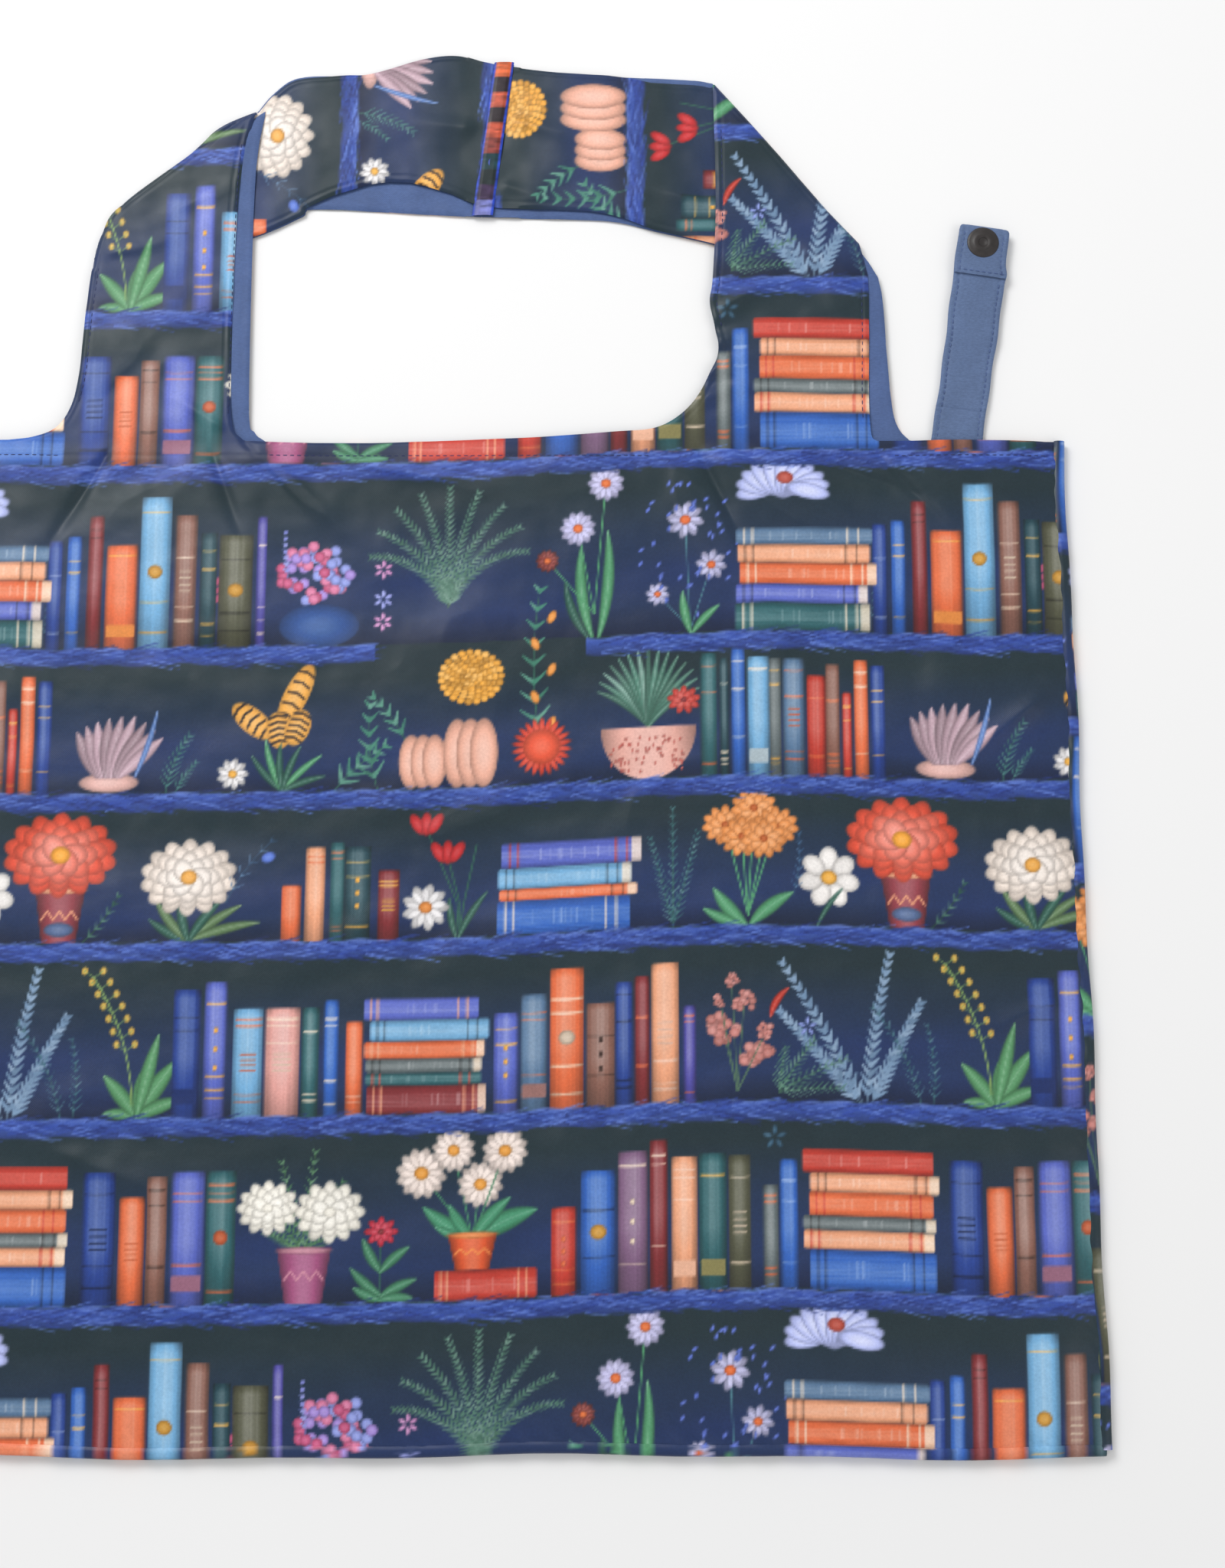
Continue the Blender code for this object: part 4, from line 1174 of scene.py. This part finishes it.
CROWN_FOLDS = (
    ((0.006, 0.150), (0.060, 0.135), 0.0008, 0.0050),
    ((-0.004, 0.145), (-0.055, 0.150), 0.0009, 0.0060),
    ((0.095, 0.110), (0.060, 0.120), 0.0008, 0.0050),
    ((-0.095, 0.150), (-0.070, 0.125), 0.0007, 0.0050),
    ((0.004, 0.120), (0.035, 0.108), 0.0006, 0.0040),
)
none = lambda x: 0.0
# the back crown is the narrower one, so that the front one shows along its edges
top_drop = lambda x: 0.0026 * float(ease((x - 0.058) / 0.012)) + 0.0012 * float(ease((-0.06 - x) / 0.02))
foot_lift = lambda x: float(
    np.interp(x, (-0.0806, -0.0676, -0.0481, -0.0322, -0.0163, -0.0098, 0.002, 0.045, 0.072),
                                      (0, 0.0062, 0.0135, 0.0138, 0.0095, 0.0064, 0.0040, 0.0034, 0)))


def crown_print(sign):
    """The strap's print, turned a quarter where the crown folds away from the strap."""

    def colour(x, y):
        if sign < 0:
            return pick(-100 * y + 2.0, 15.6 - (100 * x + 5.8))
        return pick(100 * y - 16.0, 15.6 + (100 * x - 6.1))

    return colour


crowns = {}
crown_outlines = {}


def build_crowns():
    for label, upper, drop, lift, face in (
        ("back", True, top_drop, foot_lift, UPPER_CROWN_FACE),
        ("front", False, none, none, UNDER_CROWN_FACE),
    ):
        for word, sign in (("left", -1), ("right", 1)):
            outline = crown_outline(sign, drop, lift)
            x, y, quads = lattice(outline, STEP if upper else BACK_STEP)
            z = crown_height(outline, sign, face, upper)(x, y)
            name = f"{label}_{word}_crown_cloth"
            crown_outlines[name] = outline
            if upper:
                crowns[name] = make_mesh(name, x, y, z, quads, crown_print(sign)(x, y))
            else:
                crowns[name] = make_mesh(name, x, y, z - PLY, quads, print_at(x, y + 0.1), flip=True)


build_crowns()
SEAM_BLOCKS = ("d9683e", "2b2228", "a14a36", "2b2228", "b5503a", "7d3a34", "1f3a40", "202a2c", "3d2f4a",
    "6a6fae")


def build_seam_band(name, low, high, face, blocks, up):
    """The narrow tape that covers a crown's centre seam."""
    rows = int((high - low) / STEP)
    cols = 14
    t, s = np.meshgrid(np.linspace(-1, 1, cols), np.linspace(0, 1, rows))
    y = low + (high - low) * s
    x = centre_at(y) + BAND_HALF * t * (1 - 0.05 * s)
    z = face + 0.0007 * np.sqrt(np.maximum(1 - t**4, 0)) + 0.0002 * noise(x, y, 0.01, 61)
    z = z - 0.0003 * bell(np.abs(t) - 0.72, 0.08)
    quads = grid_quads(rows, cols)
    inks = np.array([hue(b) for b in blocks])
    k = np.clip(((1 - s) * len(inks)).astype(int), 0, len(inks) - 1)
    # painted shade: each block is darker towards the tape's two edges and palest along its raised middle, as
    # light would fall on the rounded strip
    colour = inks[k] * (0.75 + 0.35 * np.sqrt(np.maximum(1 - t**2, 0)))[..., None]
    edge = (np.abs(t) > 0.8)[..., None]
    colour = np.where(edge, hue("2c48b4"), colour)
    colour = np.clip(colour * (0.92 + 0.12 * noise(x, y * 3, 0.003, 62)[..., None]), 0, 1)
    z = z if up else 2 * face - z
    return make_mesh(name, x.ravel(), y.ravel(), z.ravel(), quads, (colour**2.2).reshape(-1, 3), flip=not up)


seam_band = build_seam_band("back_seam_band_cloth", 0.1046, 0.1772, UPPER_CROWN_FACE + 0.0002, SEAM_BLOCKS,
    True)
under_band = build_seam_band("front_seam_band_cloth", 0.1050, 0.1768, UNDER_CROWN_FACE - PLY - 0.0001,
    SEAM_BLOCKS, False)


# ---------------------------------------------------------------- the snap tab
TAB_BASE = np.array((0.20375, 0.0))
TAB_TOP = np.array((0.21862, 0.09835))
TAB_HALF = 0.0111  # half its width
TAB_PLY = 0.0011  # thickness of the doubled cloth
TAB_FACE = 0.0027  # height of its upper face
TAB_ROOT_END = 0.0150
TAB_STITCH = 0.0024  # how far in from its edges its stitch lines run
tab_length = float(np.linalg.norm(TAB_TOP - TAB_BASE))
tab_along = (TAB_TOP - TAB_BASE) / tab_length
tab_across = np.array((tab_along[1], -tab_along[0]))
OVERFOLD_START = 0.0768  # where the turned-over end stops, along the tab
snap_mid = sum(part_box("snap_socket"), Vector()) / 2
stud_mid = sum(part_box("snap_stud"), Vector()) / 2
SNAP_AT = float(np.dot(np.array(snap_mid[:2]) - TAB_BASE - (0, MOUTH), tab_along))  # along the tab


def tab_place(s, t):
    """Places on the tab, across the bag and up from the mouth; s runs along it, t from -1 to 1 across."""
    bow = 0.0006 * np.sin(math.pi * s / tab_length)
    half = TAB_HALF * (1 - 0.02 * np.sin(s * 70) + 0.018 * np.sin(s * 260 + 1.5 * t))
    half = half + 0.0007 * bell(s - OVERFOLD_START - 0.002, 0.003) * (t > 0)
    x = TAB_BASE[0] + s * tab_along[0] + t * half * tab_across[0] + bow
    y = TAB_BASE[1] + s * tab_along[1] + t * half * tab_across[1]
    return x, y


def tab_height(s, t):
    """Height of the tab's upper face."""
    inner = TAB_HALF * (1 - np.abs(t))
    wave = 0.0003 * noise(s, t * TAB_HALF, 0.012, 71) + 0.0005 * noise(s, t * 0.004, 0.03, 72)
    # flat round the snap, and never so high as to reach the folded bag
    z = TAB_FACE + np.minimum(wave, 0.0004) * (1 - 0.95 * np.exp(-(((s - SNAP_AT) / 0.011) ** 4)))
    z = z - 0.00035 * bell(inner - TAB_STITCH, 0.00055)
    return z - 0.0005 * (1 - quarter(inner / 0.001))


def build_tab_piece(name, s0, s1, lift=0.0, rounded_end=False):
    s, t = np.meshgrid(np.linspace(s0, s1, max(8, int((s1 - s0) / 0.0007))), np.linspace(-1, 1, 34),
        indexing="ij")
    x, y = tab_place(s, t)
    z = tab_height(s, t) + lift
    if rounded_end:
        z = z - 0.0009 * (1 - quarter((s1 - s) / 0.0014))
        z = z - 0.0003 * bell(s - s0, 0.0009)
        corner = np.hypot(np.maximum(np.abs(t) * TAB_HALF - TAB_HALF + 0.0022, 0),
            np.maximum(s - s1 + 0.0022, 0)) - 0.0022
        out = np.maximum(corner, 0)
        x = x - out * (np.sign(t) * tab_across[0] + tab_along[0]) * 0.7
        y = y - out * (np.sign(t) * tab_across[1] + tab_along[1]) * 0.7
    quads = grid_quads(*s.shape)
    flipped = np.cross([x[1, 0] - x[0, 0], y[1, 0] - y[0, 0]], [x[0, 1] - x[0, 0], y[0, 1] - y[0, 0]]) > 0
    return make_mesh(name, x.ravel(), y.ravel(), z.ravel(), quads, flip=bool(flipped))


tab_root = build_tab_piece("tab_root_cloth", -0.012, TAB_ROOT_END)
tab_run = build_tab_piece("tab_cloth", TAB_ROOT_END, tab_length, rounded_end=True)
tab_fold = build_tab_piece("tab_overfold_cloth", OVERFOLD_START, tab_length + 0.0004, TAB_PLY + 0.0001, True)


def turned(name, centre, profile, up=1, segments=56):
    """A body of revolution about a vertical line through centre; profile holds (radius, height)."""
    mesh = bpy.data.meshes.new(name)
    work = bmesh.new()
    rings = []
    for radius, height in profile:
        if radius == 0:
            rings.append([work.verts.new((centre[0], centre[1], centre[2] + up * height))])
            continue
        rings.append([
            work.verts.new((centre[0] + radius * math.cos(a), centre[1] + radius * math.sin(a),
            centre[2] + up * height))
            for a in np.linspace(0, 2 * math.pi, segments, endpoint=False)
        ])
    for low, high in zip(rings, rings[1:]):
        for i in range(segments):
            j = (i + 1) % segments
            corners = [low[i % len(low)], low[j % len(low)], high[j % len(high)], high[i % len(high)]]
            work.faces.new(list(dict.fromkeys(corners)))
    bmesh.ops.recalc_face_normals(work, faces=work.faces)
    work.to_mesh(mesh)
    work.free()
    smooth_at_rest(mesh, [v.co for v in mesh.vertices])
    obj = add_object(name, mesh)
    edge = obj.modifiers.new("edge", "BEVEL")
    edge.width = 0.00015
    edge.segments = 2
    edge.limit_method = "ANGLE"
    edge.angle_limit = math.radians(40)
    return obj


snap_face = TAB_FACE + TAB_PLY + 0.0003
SOCKET = ((0, 0.0001), (0.0013, 0.0001), (0.0015, 0.0002), (0.0019, 0.0002), (0.0021, 0.0005),
    (0.0024, 0.0007), (0.0037, 0.0007), (0.0042, 0.0006), (0.0045, 0.0004), (0.0058, 0.0004),
    (0.0066, 0.0002), (0.0070, 0.0000), (0.0069, -0.0006), (0, -0.0006))
CAP = ((0, 0.0010), (0.0022, 0.0010), (0.0040, 0.0008), (0.0056, 0.0004), (0.0060, 0.0), (0.0058, -0.0003),
    (0, -0.0003))
STUD = ((0, 0.0008), (0.0007, 0.0008), (0.0010, 0.0006), (0.0009, 0.00015), (0.0040, 0.00015),
    (0.0054, 0.0001), (0.0062, -0.0001), (0.0060, -0.0003), (0, -0.0003))
snap_socket = turned("snap_socket_disc", (snap_mid.x, snap_mid.y, snap_face), SOCKET)
snap_cap = turned("snap_socket_cap_disc", (snap_mid.x, snap_mid.y, 0.0013), CAP, -1)
STUD_FACE = CLEAR
snap_stud = turned("snap_stud_disc", (stud_mid.x, stud_mid.y, STUD_FACE), STUD, -1)
stud_cap = turned("snap_stud_cap_disc", (stud_mid.x, stud_mid.y, STUD_FACE + 0.0006), CAP, 1)


# ---------------------------------------------------------------- stitches
def stitches(name, runs, pitch=0.0030, length=0.0021, radius=0.00021):
    """Short threads along each run. A run is points across and up from the mouth, and their heights."""
    points, faces = [], []
    ring = [(math.cos(a), math.sin(a)) for a in np.linspace(0, 2 * math.pi, 6, endpoint=False)]
    for line, height in runs:
        line = np.array(line, float)
        steps = np.linalg.norm(np.diff(line, axis=0), axis=1)
        far = np.concatenate([[0], np.cumsum(steps)])
        for at in np.arange(pitch / 2, far[-1] - pitch / 2, pitch):
            c = np.array([np.interp(at, far, line[:, 0]), np.interp(at, far, line[:, 1])])
            ahead = min(at + 0.0008, far[-1])
            d = np.array([np.interp(ahead, far, line[:, 0]), np.interp(ahead, far, line[:, 1])]) - c
            d = d / max(np.linalg.norm(d), 1e-9)
            z = float(height(np.array([c[0]]), np.array([c[1]]))[0]) + radius * 0.45
            start = len(points)
            for along, size, drop in ((-0.5, 0.35, 0.9), (-0.36, 0.9, 0.25), (0.0, 1.0, 0.0),
                (0.36, 0.9, 0.25), (0.5, 0.35, 0.9)):
                for a, b in ring:
                    px = c + d * along * length + np.array((-d[1], d[0])) * a * radius * size
                    points.append((px[0], px[1] + MOUTH, z + b * radius * size - drop * radius))
            for k in range(4):
                for i in range(6):
                    j = (i + 1) % 6
                    faces.append((start + 6 * k + i, start + 6 * k + j, start + 6 * k + 6 + j,
                        start + 6 * k + 6 + i))
            faces.append(tuple(start + i for i in range(5, -1, -1)))
            faces.append(tuple(start + 24 + i for i in range(6)))
    mesh = bpy.data.meshes.new(name)
    mesh.from_pydata(points, [], faces)
    mesh.update()
    smooth_at_rest(mesh, points)
    return add_object(name, mesh)


def moved(points, dx, dy=0.0):
    return [(x + dx, y + dy) for x, y in points]


hem_line = lambda x0, x1: [(x, -HEM_STITCH) for x in np.linspace(x0, x1, 40)]
hem_stitches = stitches("front_hem_stitches", [
    (hem_line(-0.244, -0.182), front_height), (hem_line(-0.094, 0.072), front_height),
    (hem_line(0.176, 0.244), front_height),
])
strap_runs = [
    moved(smooth_line(LEFT_OUTER[-2:] + LEFT_FOOT[:3]), EDGE_STITCH),
    moved(smooth_line([(-0.1088, 0.012), (-0.1088, 0.030), (-0.1086, 0.085), (-0.1076, 0.120),
    (-0.1064, 0.140)]), -EDGE_STITCH),
    moved(smooth_line(RIGHT_INNER[1:7]), EDGE_STITCH),
    moved(smooth_line([(0.1664, 0.010)] + RIGHT_OUTER[2:5]), -EDGE_STITCH),
]
strap_stitches = stitches("front_strap_stitches", [(run, top_height) for run in strap_runs])


def tab_line(t, s0, s1):
    s = np.linspace(s0, s1, 40)
    x, y = tab_place(s, np.full(40, t))
    return np.stack([x, y], 1)


def tab_run_height(lift):
    def height(x, y):
        d = np.stack([x - TAB_BASE[0], y - TAB_BASE[1]], -1)
        return tab_height(d @ tab_along, np.clip(d @ tab_across / TAB_HALF, -1, 1)) + lift
    return height


edge_t = 1 - TAB_STITCH / TAB_HALF
tab_root_stitches = stitches("tab_root_stitches",
    [(tab_line(t, 0.001, TAB_ROOT_END), tab_run_height(0)) for t in (-edge_t, edge_t)], 0.0027, 0.0019)
tab_stitches = stitches("tab_stitches", [
    *[(tab_line(t, TAB_ROOT_END, OVERFOLD_START - 0.0005), tab_run_height(0)) for t in (-edge_t, edge_t)],
    *[(tab_line(t, OVERFOLD_START + 0.001, tab_length - 0.002), tab_run_height(TAB_PLY + 0.0001))
    for t in (-edge_t, edge_t)],
    ([tab_place(np.array(OVERFOLD_START + 0.0016), np.array(t)) for t in np.linspace(-0.93, 0.93, 20)],
    tab_run_height(TAB_PLY + 0.0001)),
], 0.0027, 0.0019)


# ---------------------------------------------------------------- materials
def linear(code):
    c = hue(code)
    return tuple(np.where(c < 0.04045, c / 12.92, ((c + 0.055) / 1.055) ** 2.4)) + (1.0,)


class Nodes:
    """A material's node tree, with short calls to add and join nodes."""

    def __init__(self, name):
        self.material = bpy.data.materials.new(name)
        self.material.use_nodes = True
        self.tree = self.material.node_tree
        self.shader = self.tree.nodes["Principled BSDF"]
        self.place = self.add("ShaderNodeAttribute", attribute_name="rest").outputs["Vector"]

    def add(self, kind, inputs=None, **settings):
        node = self.tree.nodes.new(kind)
        for key, value in settings.items():
            setattr(node, key, value)
        for key, value in (inputs or {}).items():
            self.put(node.inputs[key], value)
        return node

    def put(self, socket, value):
        if isinstance(value, bpy.types.NodeSocket):
            self.tree.links.new(value, socket)
        else:
            socket.default_value = value

    def math(self, kind, a, b=0.0):
        return self.add("ShaderNodeMath", {0: a, 1: b}, operation=kind).outputs[0]

    def noise(self, scale, detail=2.0, rough=0.5, stretch=(1, 1, 1)):
        at = self.add("ShaderNodeMapping", {"Vector": self.place, "Scale": stretch}).outputs[0]
        return self.add("ShaderNodeTexNoise",
            {"Vector": at, "Scale": scale, "Detail": detail, "Roughness": rough}).outputs["Fac"]

    def scaled(self, value, low, high):
        return self.add("ShaderNodeMapRange",
            {"Value": value, "From Min": 0.25, "From Max": 0.75, "To Min": low, "To Max": high}).outputs[0]

    def weave(self, pitch, twill=0.0):
        """Height of a plain weave, or of a twill whose ridges slant."""
        axes = self.add("ShaderNodeSeparateXYZ", {0: self.place})
        turn = 2 * math.pi / pitch
        x = self.math("SINE", self.math("MULTIPLY", axes.outputs[0], turn))
        y = self.math("SINE", self.math("MULTIPLY", axes.outputs[1], turn))
        plain = self.math("MULTIPLY", x, y)
        if not twill:
            return plain
        slant = self.math("ADD", self.math("MULTIPLY", axes.outputs[0], turn),
            self.math("MULTIPLY", axes.outputs[1], turn * 1.3))
        return self.math("ADD", plain, self.math("MULTIPLY", self.math("SINE", slant), twill))

    def tone(self, code):
        return self.add("ShaderNodeCombineColor", dict(enumerate(linear(code)[:3]))).outputs[0]

    def lit(self, colour, factor):
        return self.add("ShaderNodeVectorMath", {0: colour, 3: factor}, operation="SCALE").outputs[0]

    def bump(self, height, strength, distance, under=None):
        inputs = {"Height": height, "Strength": strength, "Distance": distance}
        if under is not None:
            inputs["Normal"] = under
        return self.add("ShaderNodeBump", inputs).outputs[0]

    def finish(self, **sockets):
        for key, value in sockets.items():
            self.put(self.shader.inputs[key.replace("_", " ")], value)
        return self.material


def printed(name):
    n = Nodes(name)
    ink = n.add("ShaderNodeAttribute", attribute_name="print").outputs["Color"]
    shade = n.scaled(n.noise(55, 3), 0.93, 1.07)
    fibre = n.scaled(n.noise(900, 2, 0.6), 0.90, 1.10)
    lit = n.lit(ink, n.math("MULTIPLY", shade, fibre))
    drape = n.bump(n.noise(26, 2, 0.5, (1, 1.5, 1)), 0.40, 0.0040)
    crinkle = n.bump(n.noise(180, 3, 0.55), 0.22, 0.0004, drape)
    weave = n.bump(n.weave(0.0009), 0.25, 0.00006, crinkle)
    rough = n.scaled(n.noise(130, 2), 0.36, 0.50)
    return n.finish(Base_Color=lit, Roughness=rough, Normal=weave, Specular_IOR_Level=0.30,
        Sheen_Weight=0.05, Sheen_Roughness=0.45)


def plain(name, code, twill=0.0, fibre_low=0.86, fibre_high=1.14, pitch=0.0009):
    n = Nodes(name)
    tone = n.tone(code)
    shade = n.scaled(n.noise(70, 3), 0.90, 1.10)
    threads = n.scaled(n.noise(700, 2, 0.6, (1, 3, 1)), fibre_low, fibre_high)
    lit = n.lit(tone, n.math("MULTIPLY", shade, threads))
    crinkle = n.bump(n.noise(220, 3, 0.55), 0.22, 0.0004)
    weave = n.bump(n.weave(pitch, twill), 0.35, 0.00008, crinkle)
    return n.finish(Base_Color=lit, Roughness=n.scaled(n.noise(160, 2), 0.55, 0.70), Normal=weave,
        Specular_IOR_Level=0.25,
                    Sheen_Weight=0.10, Sheen_Roughness=0.5)


def thread(name, code):
    n = Nodes(name)
    tone = n.tone(code)
    lit = n.lit(tone, n.scaled(n.noise(2400, 1), 0.75, 1.25))
    return n.finish(Base_Color=lit, Roughness=n.scaled(n.noise(1500, 1), 0.5, 0.65),
        Normal=n.bump(n.noise(3000, 1), 0.4, 0.0001),
                    Specular_IOR_Level=0.4)


def moulded(name, code):
    n = Nodes(name)
    tone = n.tone(code)
    wear = n.scaled(n.noise(400, 3), 0.8, 1.35)
    lit = n.lit(tone, wear)
    return n.finish(Base_Color=lit, Roughness=n.scaled(n.noise(600, 3), 0.38, 0.55),
        Normal=n.bump(n.noise(1800, 2), 0.15, 0.00008),
                    Specular_IOR_Level=0.5)


print_cloth = printed("printed_cloth")
lining = plain("blue_lining", "4a5f8c")
denim = plain("tab_denim", "56698c", 0.7, 0.82, 1.18, 0.0010)
navy_thread = thread("navy_thread", "26305c")
blue_thread = thread("blue_thread", "4c5f8c")
snap_plastic = moulded("dark_snap", "231e1d")

CLOTHS = (*front_pieces.values(), back_upper, back_lower, bottom_wrap, back_left_strap, back_right_strap,
    *crowns.values(), seam_band, under_band)
for piece in CLOTHS:
    give_ply(piece, PLY, print_cloth, lining)
for piece in (tab_root, tab_run, tab_fold):
    give_ply(piece, TAB_PLY, denim, denim)
for material, pieces in (
    (navy_thread, (hem_stitches, strap_stitches)),
    (blue_thread, (tab_root_stitches, tab_stitches)),
    (snap_plastic, (snap_socket, snap_cap, snap_stud, stud_cap)),
):
    for piece in pieces:
        piece.data.materials.append(material)


# ---------------------------------------------------------------- the bodies that some pieces ride on, and the frame's parts that the pieces cover, hidden
def across_fold(piece):
    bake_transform(piece)


def up_handle(piece):
    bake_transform(piece)


up_handle(front_pieces["front_cloth_top"])
across_fold(front_pieces["front_cloth_upper"])
across_fold(front_pieces["front_cloth_lower"])
across_fold(back_upper)
across_fold(back_lower)
up_handle(back_left_strap)
up_handle(back_right_strap)
up_handle(strap_stitches)
for name, piece in crowns.items():
    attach(piece, name.split("_")[0] + "_handle")
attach(seam_band, "back_handle")
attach(under_band, "front_handle")
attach(bottom_wrap, "body_lower")
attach(hem_stitches, "body_upper")
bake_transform(tab_root)
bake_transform(tab_root_stitches)
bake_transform(tab_run)
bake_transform(tab_stitches)
for piece in (tab_fold, snap_socket, snap_cap):
    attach(piece, "tab_end")
for piece in (snap_stud, stud_cap):
    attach(piece, "body_middle")

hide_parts("front_mouth_hem_left", "front_mouth_hem_centre",
    "front_mouth_hem_right", "front_handle_left_strap", "front_handle_right_strap")
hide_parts("front_panel_upper", "front_panel_middle")
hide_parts("front_panel_lower")
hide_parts("back_panel_upper", "left_side_seam_upper", "right_side_seam_upper",
    "back_mouth_hem_left", "back_mouth_hem_centre", "back_mouth_hem_right", "left_side_seam_middle",
    "right_side_seam_middle")
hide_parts("back_panel_middle", "back_panel_lower", "left_side_seam_lower",
    "right_side_seam_lower")
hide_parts("bottom_seam")
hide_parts("back_handle_left_strap")
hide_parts("back_handle_right_strap")
for name, piece in crowns.items():
    label, word = name.split("_")[:2]
    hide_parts(f"{label}_handle_{word}_crown")
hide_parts("back_handle_seam_band")
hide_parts("front_handle_seam_band")
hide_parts("tab_anchor", "tab_lower")
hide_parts("tab_upper")
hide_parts("tab_end_overfold")
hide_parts("snap_socket")
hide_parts("snap_socket_cap")
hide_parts("snap_stud")
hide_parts("snap_stud_cap")


def span(outline):
    return tuple(float(v) for v in np.ptp(np.asarray(outline), axis=0))


span(top_outline)
span(upper_outline)
span(lower_outline)
span(back_left_outline)
span(back_right_outline)
for name, piece in crowns.items():
    outline = crown_outlines[name]
    span(outline)


# ---------------------------------------------------------------- studio
FLOOR_HALF = 3.0
FLOOR_TONE = 0.84
SKY_LIGHT = 0.62


def build_floor():
    """A pale surface under the bag."""
    mesh = bpy.data.meshes.new("floor")
    h = FLOOR_HALF
    mesh.from_pydata([(-h, -h, 0), (h, -h, 0), (h, h, 0), (-h, h, 0)], [], [(0, 1, 2, 3)])
    floor = add_object("floor", mesh)
    floor.location.z = -CLEAR
    n = Nodes("pale_floor")
    n.finish(Base_Color=(FLOOR_TONE, FLOOR_TONE, FLOOR_TONE, 1), Roughness=0.9, Specular_IOR_Level=0.1)
    floor.data.materials.append(n.material)


def area_light(name, place, aim, size, power, colour=(1, 1, 1)):
    light = bpy.data.lights.new(name, "AREA")
    light.shape = "RECTANGLE"
    light.size, light.size_y = size
    light.energy = power
    light.color = colour
    lamp = add_object(name, light)
    lamp.location = place
    lamp.rotation_euler = (Vector(aim) - Vector(place)).to_track_quat("-Z", "Y").to_euler()


build_floor()
area_light("overhead", (-0.8, 1.1, 1.35), (0.0, 0.0, 0.0), (1.1, 0.8), 24)
area_light("fill", (1.3, -0.6, 1.4), (0.1, 0.0, 0.0), (1.2, 1.2), 5)
world = bpy.data.worlds.new("studio")
world.use_nodes = True
world.node_tree.nodes["Background"].inputs[0].default_value = (1, 1, 1, 1)
world.node_tree.nodes["Background"].inputs[1].default_value = SKY_LIGHT
bpy.context.scene.world = world
bpy.context.scene.view_settings.view_transform = "Standard"

VIEW_TILT = math.radians(10)
VIEW_DISTANCE = 0.928
VIEW_TARGET = Vector((0.0548, -0.0288, 0.0045))
LENS = 50.7  # millimetres
lens = bpy.data.cameras.new("camera")
lens.lens = LENS
camera = add_object("camera", lens)
camera.location = VIEW_TARGET + VIEW_DISTANCE * Vector((0, -math.sin(VIEW_TILT), math.cos(VIEW_TILT)))
camera.rotation_euler = (VIEW_TILT, 0, 0)
bpy.context.scene.camera = camera
